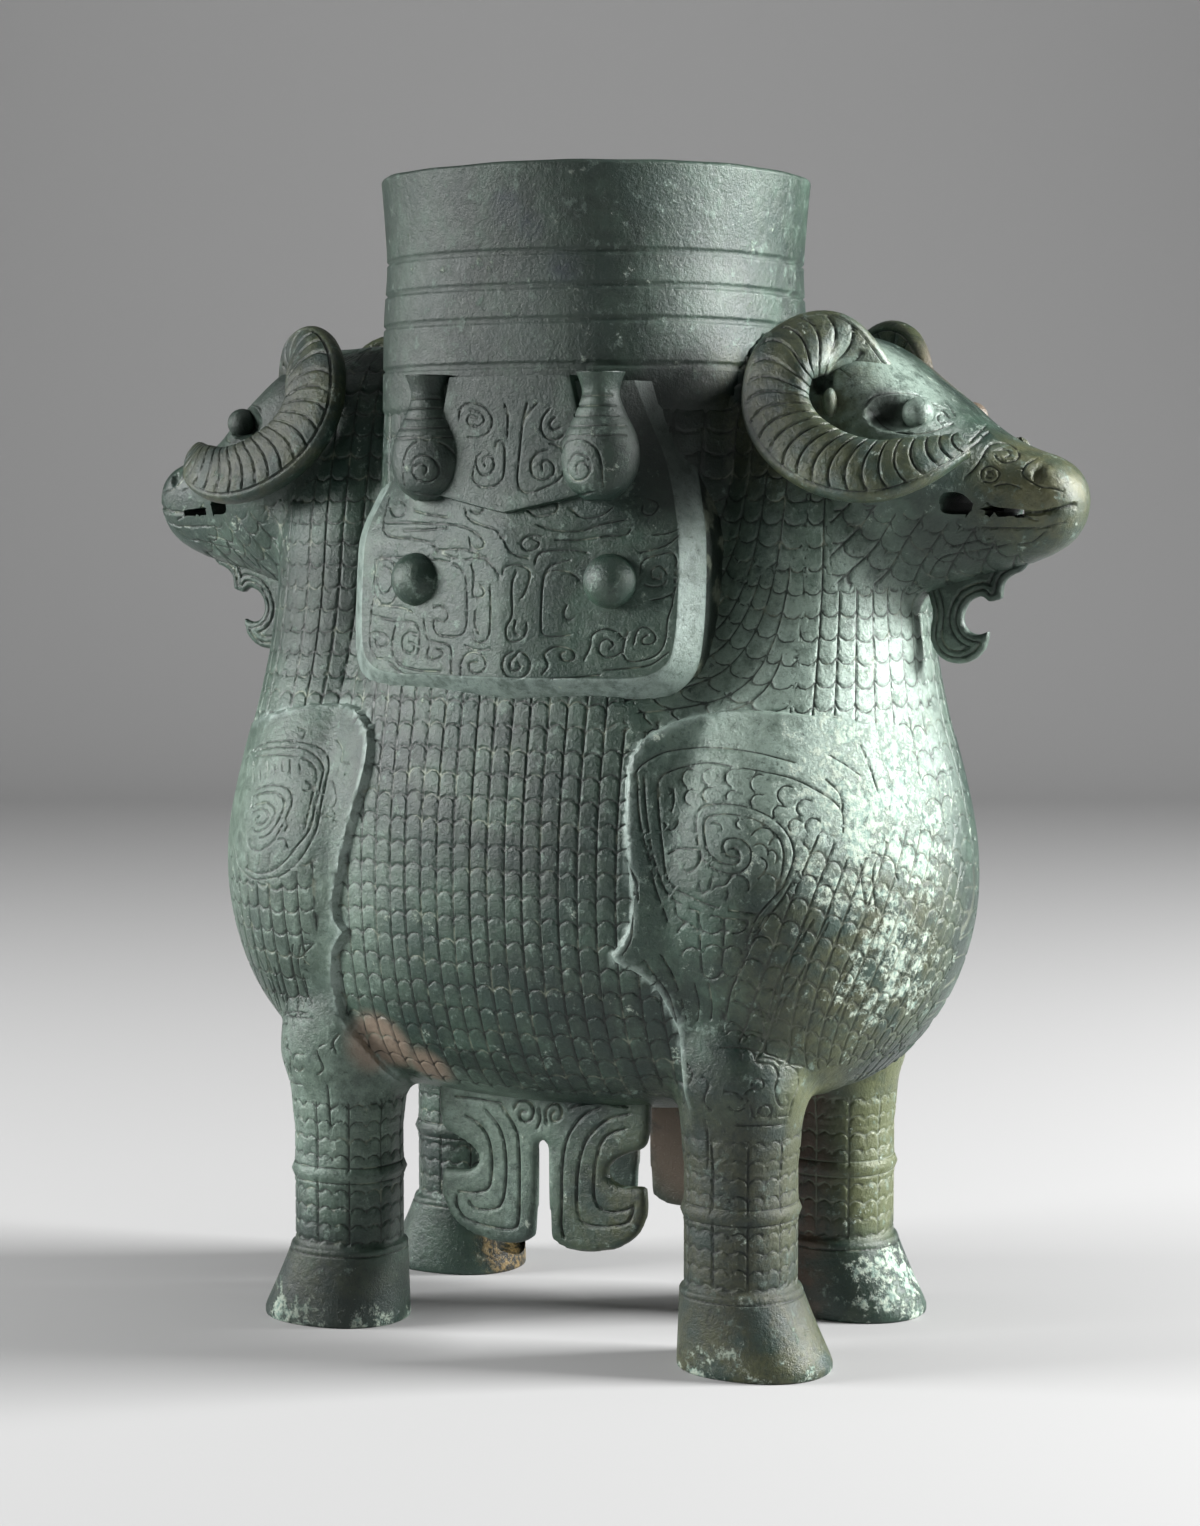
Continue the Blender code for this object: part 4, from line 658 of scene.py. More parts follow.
class Skin:
    """Triangles whose points carry normals and marks. Cutting adds points along a line."""

    def __init__(self, shell, normals=None):
        self.p, self.t = shell
        self.marks = {'normal': normals_of(*shell) if normals is None else normals}
        for name in ('raised', 'pressed', 'line'):
            self.marks[name] = np.zeros(len(self.p))
        self.zone = np.zeros(len(self.t), int)

    def whole(self):
        return np.ones(len(self.t), bool)

    def centres(self):
        return self.p[self.t].mean(1)

    def edges(self):
        """The lower and higher point of each triangle's edges, and a number for each edge."""
        pairs = np.concatenate([self.t[:, [0, 1]], self.t[:, [1, 2]], self.t[:, [2, 0]]])
        low, high = pairs.min(1), pairs.max(1)
        return low, high, low * len(self.p) + high

    def cut(self, value, level, active, span=4.0):
        """Cut the active triangles where the points' value passes the level."""
        shifted = value - level
        shifted[np.abs(shifted) < SNAP] = 0
        low, high, keys = self.edges()
        first, second = shifted[low], shifted[high]
        crossing = np.tile(active, 3) & (first * second < 0) & (np.abs(first - second) < span)
        chosen = np.unique(keys[crossing])
        if not len(chosen):
            return value
        low, high = chosen // len(self.p), chosen % len(self.p)
        share = shifted[low] / (shifted[low] - shifted[high])
        self.split(chosen, share, keys)
        return np.concatenate([value, value[low] * (1 - share) + value[high] * share])

    def refine(self, near, longest):
        """Halve the edges longer than this that join two points where near is true."""
        for _ in range(2):
            low, high, keys = self.edges()
            long = np.linalg.norm(self.p[low] - self.p[high], axis=1) > longest
            chosen = np.unique(keys[near[low] & near[high] & long])
            if not len(chosen):
                return
            self.split(chosen, np.full(len(chosen), 0.5), keys)
            near = np.concatenate([near, np.ones(len(chosen), bool)])

    def split(self, chosen, share, keys):
        """Put a point on each chosen edge, at its share of the way, and split the triangles to fit."""
        count = len(self.p)
        low, high = chosen // count, chosen % count
        wide = share[:, None]
        self.p = np.concatenate([self.p, self.p[low] * (1 - wide) + self.p[high] * wide])
        for name, mark in self.marks.items():
            part = wide if mark.ndim > 1 else share
            self.marks[name] = np.concatenate([mark, mark[low] * (1 - part) + mark[high] * part])
        place = np.minimum(np.searchsorted(chosen, keys), len(chosen) - 1)
        new = np.where(chosen[place] == keys, count + place, -1).reshape(3, -1).T
        splits = (new >= 0).sum(1)
        parts, zones = [self.t[splits == 0]], [self.zone[splits == 0]]

        def add(which, corners):
            """Triangles in place of the chosen ones, each from three columns of points."""
            parts.extend(np.column_stack(columns) for columns in corners)
            zones.extend([self.zone[which]] * len(corners))

        one = splits == 1
        if one.any():
            # The cut edge comes first.
            turn = (np.argmax(new[one] >= 0, 1)[:, None] + np.arange(3)) % 3
            a, b, c = np.take_along_axis(self.t[one], turn, 1).T
            middle = np.take_along_axis(new[one], turn, 1)[:, 0]
            add(one, [(a, middle, c), (middle, b, c)])
        two = splits == 2
        if two.any():
            # The corner between the two cut edges comes first, and the shorter diagonal is used.
            turn = (np.argmax(new[two] < 0, 1)[:, None] + 2 + np.arange(3)) % 3
            a, b, c = np.take_along_axis(self.t[two], turn, 1).T
            near, _, far = np.take_along_axis(new[two], turn, 1).T
            flip = (np.linalg.norm(self.p[far] - self.p[b], axis=1)
                    < np.linalg.norm(self.p[near] - self.p[c], axis=1))
            add(two, [(a, near, far), (near, b, np.where(flip, far, c)), (np.where(flip, b, near), c, far)])
        three = splits == 3
        if three.any():
            a, b, c = self.t[three].T
            ab, bc, ca = new[three].T
            add(three, [(a, ab, ca), (ab, b, bc), (ca, bc, c), (ab, bc, ca)])
        self.t, self.zone = np.concatenate(parts), np.concatenate(zones)

    def groove(self, field, allowed, width=GROOVE, depth=DEPTH, span=4.0):
        """A groove with sloping sides where field(skin) is 0, in the triangles allowed(skin) picks."""
        value = field(self)
        for level in (-width / 2, 0, width / 2):
            value = self.cut(value, level, allowed(self), span)
        value = field(self)
        used = np.zeros(len(self.p), bool)
        used[self.t[allowed(self)].ravel()] = True
        share = np.where(used, np.clip(1 - np.abs(value) / (width / 2), 0, 1), 0)
        self.marks['pressed'] = np.maximum(self.marks['pressed'], share * depth)
        # The line mark later paints dirt and painted shade into the groove.
        self.marks['line'] = np.maximum(self.marks['line'], share)

    def keep(self, chosen):
        self.t, self.zone = self.t[chosen], self.zone[chosen]

    def place_scales(self):
        self.marks['column'], self.marks['row'], self.marks['wide'] = scale_places(self.p)


PIECES = []


def hand_over(name, skin, parts=None):
    """Make an object of a skin and add it to the pieces.

    parts are pairs of a label and the triangles of one piece, where a skin makes several: their
    normals carry on from one to the next.
    """
    points = skin.p + skin.marks['normal'] * (skin.marks['raised'] - skin.marks['pressed'])[:, None]
    normals = normals_of(points, skin.t)
    for label, chosen in parts or [('', skin.whole())]:
        triangles = skin.t[chosen]
        used = np.unique(triangles)
        place = np.zeros(len(points), int)
        place[used] = np.arange(len(used))
        item = object_from(name + label, points[used], place[triangles])
        for mark in ('line', 'pale'):
            if mark in skin.marks:
                attribute = item.data.attributes.new(mark, 'FLOAT', 'POINT')
                attribute.data.foreach_set('value', skin.marks[mark][used].astype(np.float32))
        item.data.shade_smooth()
        item.data.normals_split_custom_set_from_vertices(normals[used].astype(np.float32))
        PIECES.append(item)


# Carved curves

def curve_gap(points, normals, curves, reach=3.5):
    """Signed distance over the skin from the nearest curve, or FAR where none is near."""
    best = np.full(len(points), FAR)
    for curve in curves:
        low, high = curve.min(0) - reach, curve.max(0) + reach
        close = np.flatnonzero(((points > low) & (points < high)).all(1))
        if not len(close):
            continue
        p, n = points[close], normals[close]
        nearest = np.full(len(close), 1e9)
        side = np.ones(len(close))
        for a, b in zip(curve, curve[1:]):
            along = b - a
            size = along @ along
            if size < 1e-9:
                continue
            offset = p - a
            gap = offset - np.clip(offset @ along / size, 0, 1)[:, None] * along
            distance = np.einsum('ij,ij->i', gap, gap)
            turn = np.einsum('ij,ij->i', offset, np.cross(n, along))
            nearer = distance < nearest
            nearest[nearer] = distance[nearer]
            side[nearer] = np.where(turn[nearer] < 0, -1, 1)
        value = np.sqrt(nearest) * side
        better = np.abs(value) < np.abs(best[close])
        best[close[better]] = value[better]
    return best


def stood_on(curves, depth):
    """Curves of (x, z) put on a skin, whose Y depth(x, z) gives, or None beside it."""
    result = []
    for curve in curves:
        places = [(x, depth(x, z), z) for x, z in between(curve, 5 if len(curve) > 2 else 8)]
        places = [place for place in places if place[1] is not None]
        if len(places) > 1:
            result.append(np.array(places))
    return result


def near_view(points):
    """(x, z) of points as seen from their own side, the near side or the far one half a turn round."""
    side = np.where(points[:, 1] > 0, -1.0, 1.0)
    return np.column_stack([points[:, 0] * side, points[:, 2]])


# The core: belly, chests, heads and upper legs

def lifted(z, inset):
    """A height in the body, moved up by the inset below the flanks."""
    return z + inset * min(max((138 - z) / 20, 0), 1)


def belly_shell(inset, count=96):
    rows = list(BELLY)
    for z, share, power in NECK:
        half = NECK_HALF + (MOUTH_RADIUS - NECK_HALF) * share - 2.6
        rows.append((z, half, half, power))
    return loft([level_ring(0, 0, lifted(z, inset), a - inset, b - inset, power, count)
                 for z, a, b, power in between(rows, 6)])


def chest_shell(inset, top=1000, count=80):
    return loft([level_ring((inner + outer) / 2, 0, lifted(z, inset), (outer - inner) / 2 - inset,
                            width - inset, power, count)
                 for z, inner, outer, width, power in between(CHEST, 5) if z <= top])


def head_shell(count=72):
    rings = []
    for x, top, bottom, width, power in between(HEAD, 5):
        middle, half = (top + bottom) / 2, (top - bottom) / 2
        loop = rounded(width, half, power, count)
        rings.append(np.column_stack([np.full(count, x), loop[:, 0] * (1 + 0.26 * loop[:, 1] / half),
                                      middle + loop[:, 1]]))
    return loft(rings)


def leg_shell(side_x, side_y):
    rings = []
    for z, more, lean in between(LEG_STUMP + LEG, 5):
        radius = LEG_RADIUS + more
        rings.append(level_ring(side_x * (LEG_X + lean), side_y * (LEG_Y + lean / 2), z, radius, radius, 2.2, 48))
    return loft(rings)


def neck_half(z):
    """Half width and squareness of the neck at a height."""
    rows = between([(330, 0, 2.6)] + NECK, 8)
    share, power = (np.interp(z, rows[:, 0], rows[:, k]) for k in (1, 2))
    return NECK_HALF + (MOUTH_RADIUS - NECK_HALF) * share, power


def make_core():
    corners = [(x, y) for x in (-1, 1) for y in (-1, 1)]
    shells = [belly_shell(0)]
    for shell in (chest_shell(0), head_shell()):
        shells += [shell, half_turned(shell)]
    shells += [leg_shell(x, y) for x, y in corners]
    shells += [ball(np.array(middle) * (x, y, 1), radii, 20) for middle, radii in CHEEKS for x, y in corners]
    skin = Skin(skin_over(shells, VOXEL, SMOOTHING))
    middle = skin.centres()
    half, power = neck_half(middle[:, 2])
    size = (np.abs(middle[:, 0]) ** power + np.abs(middle[:, 1]) ** power) ** (1 / power)
    skin.keep((middle[:, 2] >= CORE_BOTTOM) & ~((middle[:, 2] > CORE_TOP) & (size < half + 0.4)))
    return skin


def raise_shoulders(skin):
    """Step the four panels up from the body."""
    view = near_view(skin.p)
    plus = outline_distance(view, outline_of(SHOULDER_PLUS))
    minus = outline_distance(view * (-1, 1), outline_of(SHOULDER_MINUS))
    value = np.where(view[:, 0] > 0, plus, minus)
    skin.marks['panel'] = np.where(np.abs(skin.p[:, 1]) < 20, FAR, value)
    for level in (0.0, -1.0):
        skin.cut(skin.marks['panel'], level, skin.whole())
    # The step fades out towards the chest and down the legs.
    fade = 1 - (1 - ramp(np.abs(skin.p[:, 0]), 90, 150)) * (1 - ramp(-skin.p[:, 2], -104, -84))
    lift = SHOULDER_STEP * (1 - fade) ** 1.6
    panel = skin.marks['panel']
    skin.marks['raised'] = lift * np.clip(-panel, 0, 1)
    skin.marks['pale'] = ramp(-np.abs(panel + 0.9), -2.2, -0.6) * ramp(lift, 0.4, 1.6)


core = make_core()
on_core = front_of((core.p, core.t))
raise_shoulders(core)


# Heads: eye sockets, ear holes, nostrils and open mouths

def dent(skin, spot, depth, power):
    """A dent with a clear edge, inside an oval seen from the side of a head."""
    middle_x, middle_z, half_x, half_z = spot

    def oval():
        """How far out each point is: 1 on the oval's edge, and no more than FAR."""
        x = (np.abs(skin.p[:, 0]) - middle_x) / half_x
        z = (skin.p[:, 2] - middle_z) / half_z
        return np.where(np.abs(skin.p[:, 1]) < 12, FAR, np.minimum(np.hypot(x, z), FAR))

    size = min(half_x, half_z)
    value = (oval() - 1) * size
    for level in (0.0, -0.25 * size, -0.6 * size):
        value = skin.cut(value, level, skin.whole())
    share = np.clip(1 - oval() ** power, 0, 1)
    skin.marks['pressed'] = np.maximum(skin.marks['pressed'], share * depth)


def cut_mouth(skin):
    """Cut the corner of the mouth and the gap between the lips through the heads, and line them."""
    holes = [outline_of(MOUTH_CORNER), outline_of(LIP_GAP)]
    for outline in holes:
        quarter = np.column_stack([np.abs(skin.p[:, 0]), skin.p[:, 2]])
        close = (quarter[:, 0] > 140) & (np.abs(quarter[:, 1] - 310) < 12)
        value = np.full(len(quarter), FAR)
        value[close] = outline_distance(quarter[close], outline)
        skin.cut(value, 0.0, skin.whole())
    middle = skin.centres()
    quarter = np.column_stack([np.abs(middle[:, 0]), middle[:, 2]])
    gone = inside(quarter, holes[0]) | inside(quarter, holes[1])
    # The border of a hole is the edges that only one of its triangles has.
    edges, times = np.unique(skin.edges()[2].reshape(3, -1)[:, gone], return_counts=True)
    border = edges[times == 1]
    a, b = skin.p[border // len(skin.p)], skin.p[border % len(skin.p)]
    points = np.concatenate([a, b, b * (1, 0, 1), a * (1, 0, 1)])
    k = np.arange(len(a))
    near_a, near_b, deep_b, deep_a = k, k + len(a), k + 2 * len(a), k + 3 * len(a)
    skin.keep(~gone)
    return points, np.concatenate([np.column_stack([near_a, near_b, deep_b]),
                                   np.column_stack([near_a, deep_b, deep_a])])


def carve_curves(skin, side_curves, quarter_curves, width, depth):
    """Traced lines: side_curves on both long sides, and quarter_curves in all four quarters."""
    sides = stood_on(side_curves, on_core)
    quarters = stood_on(quarter_curves, on_core)

    def gap(s):
        flip = np.where(s.p[:, 1:2] > 0, HALF_TURN, (1, 1, 1))
        one = curve_gap(s.p * flip, s.marks['normal'] * flip, sides)
        signs = np.column_stack([np.sign(s.p[:, 0]), -np.sign(s.p[:, 1]), np.ones(len(s.p))])
        two = curve_gap(s.p * signs, s.marks['normal'] * signs, quarters)
        return np.where(np.abs(one) < np.abs(two), one, two)

    near, longest = CORE_FINE
    skin.refine(np.abs(gap(skin)) < near, longest)
    skin.groove(gap, Skin.whole, width, depth)


for spot in DENTS:
    dent(core, *spot)
hand_over('mouths', Skin(cut_mouth(core)))
carve_curves(core, PANEL_PLUS_CURVES + FAN_CURVES, HEAD_CURVES + LEG_TOP_CURVES, 1.15, 0.6)
carve_curves(core, PANEL_MINUS_CURVES, [], 0.9, 0.5)
carve_curves(core, [], [MOUTH_LINE], 2.2, 1.6)


# Scales

def chest_row(z):
    """Middle, half length and half width of the chest at a height."""
    rows = between(CHEST, 5)
    inner, outer, width = (np.interp(z, rows[:, 0], rows[:, k]) for k in (1, 2, 3))
    return (inner + outer) / 2, (outer - inner) / 2, width


def scale_places(points):
    """Column, row height and column width of the scales at each point.

    Each kind of column has whole hundreds of its own, so that no column runs on into another kind.
    """
    view = near_view(points)
    x, z = view[:, 0], view[:, 1]
    out = np.abs(x)
    deep = np.abs(points[:, 1])
    # Columns in upright planes over the belly, with rows that bend round under it
    column = x / BELLY_COLUMN
    row = np.where(z > 125, z, 125 - np.hypot(125 - z, np.maximum(74 - deep, 0)))
    wide = np.full(len(x), BELLY_COLUMN)

    def put(where, *values):
        for old, new in zip((column, row, wide), values):
            np.copyto(old, new, where=where)

    # Columns that sweep back from the chest under the mask
    back = CHEST_FROM - x
    rise = np.maximum(70 - np.logaddexp(0, (302 - z) / 12 - 0.01) * 12, 3)
    spread = SWEEP / np.hypot(rise, back * (z < 302))
    times = np.where(spread > 20, 4, np.where(spread > 10, 2, 1))
    put((x > BELLY_END) & (x <= CHEST_FROM) & (z > SWEPT_ABOVE),
        100 + times * back * rise / SWEEP, z - ramp(-z, -312, -270) * back ** 2 / 110, spread / times)
    # Columns that run down the front of the chest
    middle, length, width = chest_row(z)
    turn_edge = np.arccos(np.clip((CHEST_FROM - middle) / length, -0.95, 0.95))
    share = np.clip(np.arctan2(deep / width, (out - middle) / length) / turn_edge, 0, 1)
    put(out > CHEST_FROM, np.sign(x) * (200 + CHEST_COLUMNS * share), z,
        turn_edge * np.sqrt((length ** 2 + width ** 2) / 2) / CHEST_COLUMNS)
    # Slanting columns over the leg of the +X ram
    along = np.where(x > CHEST_FROM, CHEST_FROM + (1 - share) * 92, x)
    c, s = math.cos(FAN_TURN), math.sin(FAN_TURN)
    put(inside(view, FAN_ZONE), 400 + (along * c - (z - 150) * s) / FAN_COLUMN, along * s + z * c, FAN_COLUMN)
    # Upright columns over the leg of the -X ram
    put(inside(view, MINUS_ZONE), 500 + x / MINUS_COLUMN, z, MINUS_COLUMN)
    # Slanting columns over the jaws
    c, s = math.cos(JAW_TURN), math.sin(JAW_TURN)
    put((out > JAW_X[0]) & (out < JAW_X[1]) & (z > JAW_Z[0]) & (z < JAW_Z[1]),
        700 + (out * c + z * s) / JAW_COLUMN, z * c - out * s, JAW_COLUMN)
    # Columns round the legs
    turn = np.degrees(np.arctan2(points[:, 1] - np.sign(points[:, 1]) * LEG_Y,
                                 points[:, 0] - np.sign(points[:, 0]) * LEG_X))
    put((z < 100) & (out > 50), 600 + (turn + LEG_PHASE) / LEG_COLUMN, z,
        LEG_RADIUS * math.radians(LEG_COLUMN) * 1.03)
    return column, row, wide


def carve_scales(skin, zone):
    """Columns of scales in a zone: their pitch, which way they open, how many in a column, and the groove."""
    pitch, opens, parts, width, depth = SCALES[zone]

    def gap(s):
        return (s.marks['column'] - np.round(s.marks['column'])) * s.marks['wide']

    def in_zone(s):
        return s.zone == zone

    def in_column(s):
        clear = np.abs(gap(s)) > width / 2 - 0.2
        return in_zone(s) & clear[s.t].all(1)

    def arc(s):
        column, wide = s.marks['column'], s.marks['wide'] / parts
        share = column * parts
        share = np.abs(2 * (share - np.floor(share)) - 1)
        height = 0.4 * np.minimum(wide, 9)
        whole = np.floor(column)
        # Neighbouring columns are a little uneven.
        uneven = 0.45 * np.sin(1.7 * whole) + 0.3 * np.sin(4.1 * whole)
        value = s.marks['row'] + uneven + opens * height * share ** 2.6
        value = value - pitch * np.round(value / pitch)
        return value / np.sqrt(1 + (5.2 * height / wide * share ** 1.6) ** 2)

    skin.groove(gap, in_zone, width, depth)
    skin.groove(arc, in_column, width, depth, span=pitch / 2)


def cover_with_scales(skin):
    skin.place_scales()
    view = near_view(skin.centres())
    x, z = view[:, 0], view[:, 1]
    out = np.abs(x)
    panel = skin.marks['panel'][skin.t].max(1) < 0.05
    head = (out > 97) & (z > 322 - 0.42 * (out - 97)) | (out > 152)
    hidden = (np.abs(x - MASK_OFF) < 46) & (z > 250)
    bare = panel | head | (z < 96) | hidden
    cups = (x > BELLY_END) & (z > SWEPT_ABOVE) | (x < -60) & (z > 245)
    skin.zone[~bare & ~cups] = ARCHES
    skin.zone[~bare & cups] = CUPS
    skin.zone[inside(view, FAN_ZONE) & panel & (z > 112)] = FAN
    skin.zone[inside(view, MINUS_ZONE) & panel & (z > 112)] = MINUS
    skin.zone[(z < 86) & (z > 62)] = LEGS
    skin.zone[(out > JAW_X[0] + 6) & (out < JAW_X[1]) & (z > JAW_Z[0]) & (z < 311 - 0.18 * (out - JAW_X[0]))
              & (z < 304 - 0.9 * (out - 158))] = JAWS
    for zone in SCALES:
        carve_scales(skin, zone)


cover_with_scales(core)
centre = core.centres()
plus, near = centre[:, 0] > 0, centre[:, 1] < 0
hand_over('core', core, [('_near_plus', plus & near), ('_near_minus', ~plus & near),
                         ('_far_plus', plus & ~near), ('_far_minus', ~plus & ~near)])


# The vessel's neck and rim, and the hollow

def make_neck(count=180):
    rings = []
    for z, out in (NECK_FOOT + [(z, 0) for z in np.arange(346, 430.5, 2.0)] + LIP
                   + [(z, -WALL) for z in np.arange(427, 344, -4)]):
        half, power = neck_half(z)
        ring = level_ring(0, 0, z, half + out, half + out, power, count)
        turn = np.linspace(0, 2 * math.pi, count, endpoint=False)
        wear = 0.45 + 0.2 * (np.sin(3 * turn + 1) + 0.6 * np.sin(7 * turn + 2) + 0.5 * np.sin(17 * turn))
        ring[:, 2] -= wear * max(0, z - 429.5) / 2.5
        rings.append(ring)
    skin = Skin(loft(rings, closed=False))
    for height in NECK_LINES:
        skin.groove(lambda s: s.p[:, 2] - height,
                    lambda s: (s.marks['normal'] * s.p)[:, :2].sum(1)[s.t].mean(1) > 0, width=2.0, depth=1.0)
    # The neck's grooves are darkened only a third as much.
    skin.marks['line'] *= 0.35
    return skin


hand_over('neck', make_neck())
chest = chest_shell(WALL, HOLLOW_CHEST_TOP, 48)
hollow_points, hollow_faces = skin_over([belly_shell(WALL, 64), chest, half_turned(chest)], 8, 3)
hollow = Skin((hollow_points, hollow_faces[:, ::-1]))
hollow.keep(hollow.centres()[:, 2] < HOLLOW_TOP)
hand_over('hollow', hollow)


# Lower legs and hooves

def hoof_size(z):
    """Half length, half width and shift towards the toe of a hoof at a height."""
    flare = (1 - np.clip((z - 3.5) / (HOOF_HEIGHT - 3.5), 0, 1)) ** 1.1
    collar = LEG_RADIUS + 1.6
    return collar + (HOOF_LENGTH - collar) * flare, collar + (HOOF_WIDTH - collar) * flare, HOOF_TOE * flare


def leg_skin(side_x, side_y):
    rows = [(z, HOOF_LENGTH - less, HOOF_WIDTH - less, HOOF_TOE)
            for z, less in ((0, 1.6), (0, 0.8), (0.4, 0.25), (1.2, 0))]
    rows += [(z, *hoof_size(z)) for z in np.arange(3, HOOF_HEIGHT, 2.6)]
    upper = [(HOOF_HEIGHT, 1.6), (HOOF_HEIGHT + 0.8, 1.2), (HOOF_HEIGHT + 1.6, 0)]
    upper += [(z, 1.3 * math.exp(-((z - RING_Z) / 2.2) ** 2)) for z in np.arange(HOOF_HEIGHT + 3, 84, 2.6)]
    rows += [(z, LEG_RADIUS + out, LEG_RADIUS + out, 0) for z, out in upper + [(84, -0.3), (85, -6)]]
    skin = Skin(loft([level_ring(side_x * (LEG_X + shift), side_y * LEG_Y, z, a, b, 2.2, 66)
                      for z, a, b, shift in rows]))
    skin.place_scales()
    z = skin.centres()[:, 2]
    skin.zone[(z > HOOF_HEIGHT + 2.6) & (z < RING_Z - 3.4) | (z > RING_Z + 3.4) & (z < 83.5)] = LEGS
    carve_scales(skin, LEGS)
    for height in (RING_Z - 3.0, RING_Z + 3.0, HOOF_HEIGHT - 1.8):
        skin.groove(lambda s: s.p[:, 2] - height, lambda s: s.centres()[:, 2] > 20, 1.1, 0.5)
    return skin


def break_hoof(skin):
    """Open the inner side of one hoof and give the hole a rough inside."""
    outline = outline_of([[(LEG_Y + across * HOOF_WIDTH, up * HOOF_HEIGHT) for across, up in BROKEN_HOOF[0]]], 5)
    inner = -LEG_X + 4
    value = np.where(skin.p[:, 0] > inner, outline_distance(skin.p[:, [1, 2]], outline), FAR)
    skin.cut(value, 0.0, skin.whole())
    middle = skin.centres()
    skin.keep(~(inside(middle[:, [1, 2]], outline) & (middle[:, 0] > inner)))

    def side(y, z):
        """x of the hoof's inner side."""
        half_x, half_y, shift = hoof_size(z)
        across = np.clip(np.abs(y - LEG_Y) / half_y, 0, 1)
        return -LEG_X - shift + half_x * (1 - across ** 2.2) ** (1 / 2.2)

    steps = 14
    heart = outline.mean(0)
    rings = []
    for step in range(steps + 1):
        share = step / steps
        loop = heart + (outline - heart) * (1.05 - share ** 2)
        rough = [0.9 * math.sin(1.9 * k + 2.3 * step) * math.sin(math.pi * share) for k in range(len(loop))]
        depth = side(*loop.T) - 0.5 - 17 * math.sin(math.pi / 2 * share) + np.array(rough)
        rings.append(np.column_stack([depth, loop[:, 0], loop[:, 1]]))
    points, faces = loft(rings, closed=False)
    hand_over('hoof_inside', Skin((points, faces[:, ::-1])))


for side_x, side_y, name in ((1, -1, 'near_plus'), (-1, -1, 'near_minus'), (1, 1, 'far_plus'), (-1, 1, 'far_minus')):
    leg = leg_skin(side_x, side_y)
    if name == 'far_minus':
        break_hoof(leg)
    hand_over('leg_' + name, leg)


# Masks

def mask_face(x, z):
    """Distance of the mask's face from the middle plane; x is counted from its ridge."""
    lower_down = np.clip((330 - z) / 80, 0, 1)
    rounding = 12.5 * np.minimum(np.abs(x) / 66, 1.2) ** 1.9
    nose = 2.2 * np.maximum(0, 1 - np.abs(x) / 30) * np.clip((312 - z) / 10, 0, 1)
    sunk = 13 * ramp(np.abs(x), 36, 60) * ramp(z, 294, 334)
    return NECK_HALF + MASK_PROUD - 6.5 * (1 - lower_down) - rounding + nose - sunk


def mask_place(u, v, grow):
    """Places on the mask for u from -1 to 1 across and v from 0 to 1 up, a little wider on the left."""
    spot = v * (len(MASK_SIDES) - 1)
    low = np.minimum(spot.astype(int), len(MASK_SIDES) - 2)
    height, half = (MASK_SIDES[low] + (MASK_SIDES[low + 1] - MASK_SIDES[low]) * (spot - low)[:, None]).T
    left = u < 0
    x = u * (half + np.where(left, 2.5, -0.5) + grow * np.where(left, 1.0, 0.55))
    z = height + grow * np.where(v > 0.5, 0, v - 0.5) * 1.7
    return np.column_stack([x + MASK_OFF, -mask_face(x, z), z])


def forehead_place(u, v, grow):
    low = 316 - 8 * (1 - np.abs(u)) ** 0.8
    z = low + v * (356 - low) - grow * (1 - v)
    x = u * (33 - 9 * v + grow)
    return np.column_stack([x + MASK_OFF, -mask_face(x, z) - FOREHEAD_STEP, z])


def slab(rows, columns, place, layers):
    """A sheet on a grid of places with its border carried on through layers of (growth, depth)."""
    grid_u, grid_v = np.meshgrid(np.linspace(-1, 1, columns + 1), np.linspace(0, 1, rows + 1))
    points = [place(grid_u.ravel(), grid_v.ravel(), 0.0)]
    wide = columns + 1
    across, up = np.arange(columns), np.arange(rows) * wide
    a = (up[:, None] + across).ravel()
    faces = [np.column_stack([a, a + 1, a + wide + 1]), np.column_stack([a, a + wide + 1, a + wide])]
    loop = np.concatenate([across, up + columns, rows * wide + columns - across, rows * wide - up])
    border_u, border_v = grid_u.ravel()[loop], grid_v.ravel()[loop]
    for grow, depth in layers:
        under = sum(map(len, points)) + np.arange(len(loop))
        points.append(place(border_u, border_v, grow) + (0, depth, 0))
        beside, beside_under = np.roll(loop, -1), np.roll(under, -1)
        faces += [np.column_stack([beside, loop, under]), np.column_stack([beside, under, beside_under])]
        loop = under
    return np.concatenate(points), np.concatenate(faces)


def both(name, shell, curves=(), lines=(), width=1.1, depth=0.55, marked=()):
    """A piece with its carved lines on the near side, and the same half a turn round.

    lines are pairs of a distance inside an outline and the outline. marked are a mark's name and the
    first and last of the points that it is set on.
    """
    skin = Skin(shell)
    for mark, first, last in marked:
        skin.marks[mark] = np.zeros(len(skin.p))
        skin.marks[mark][first:last] = 1

    def gap(s):
        return curve_gap(s.p, s.marks['normal'], curves)

    if len(curves):
        near, longest = PLATE_FINE
        skin.refine(np.abs(gap(skin)) < near, longest)
        skin.groove(gap, Skin.whole, width, depth)
    for inset, outline in lines:
        skin.groove(lambda s: outline_distance(s.p[:, [0, 2]], outline) + inset,
                    lambda s: np.abs(s.marks['normal'][s.t, 1]).mean(1) > 0.6)
    hand_over(name + '_near', skin)
    hand_over(name + '_far', turned(skin, HALF_TURN))


def turned(skin, flip):
    """A skin's twin, half a turn round or mirrored."""
    mirrored = flip[0] * flip[1] < 0
    twin = Skin((skin.p * flip, skin.t[:, ::-1] if mirrored else skin.t), skin.marks['normal'] * flip)
    twin.marks.update((mark, values) for mark, values in skin.marks.items() if mark != 'normal')
    return twin


def on_mask(x, z):
    return -float(mask_face(x - MASK_OFF, z))


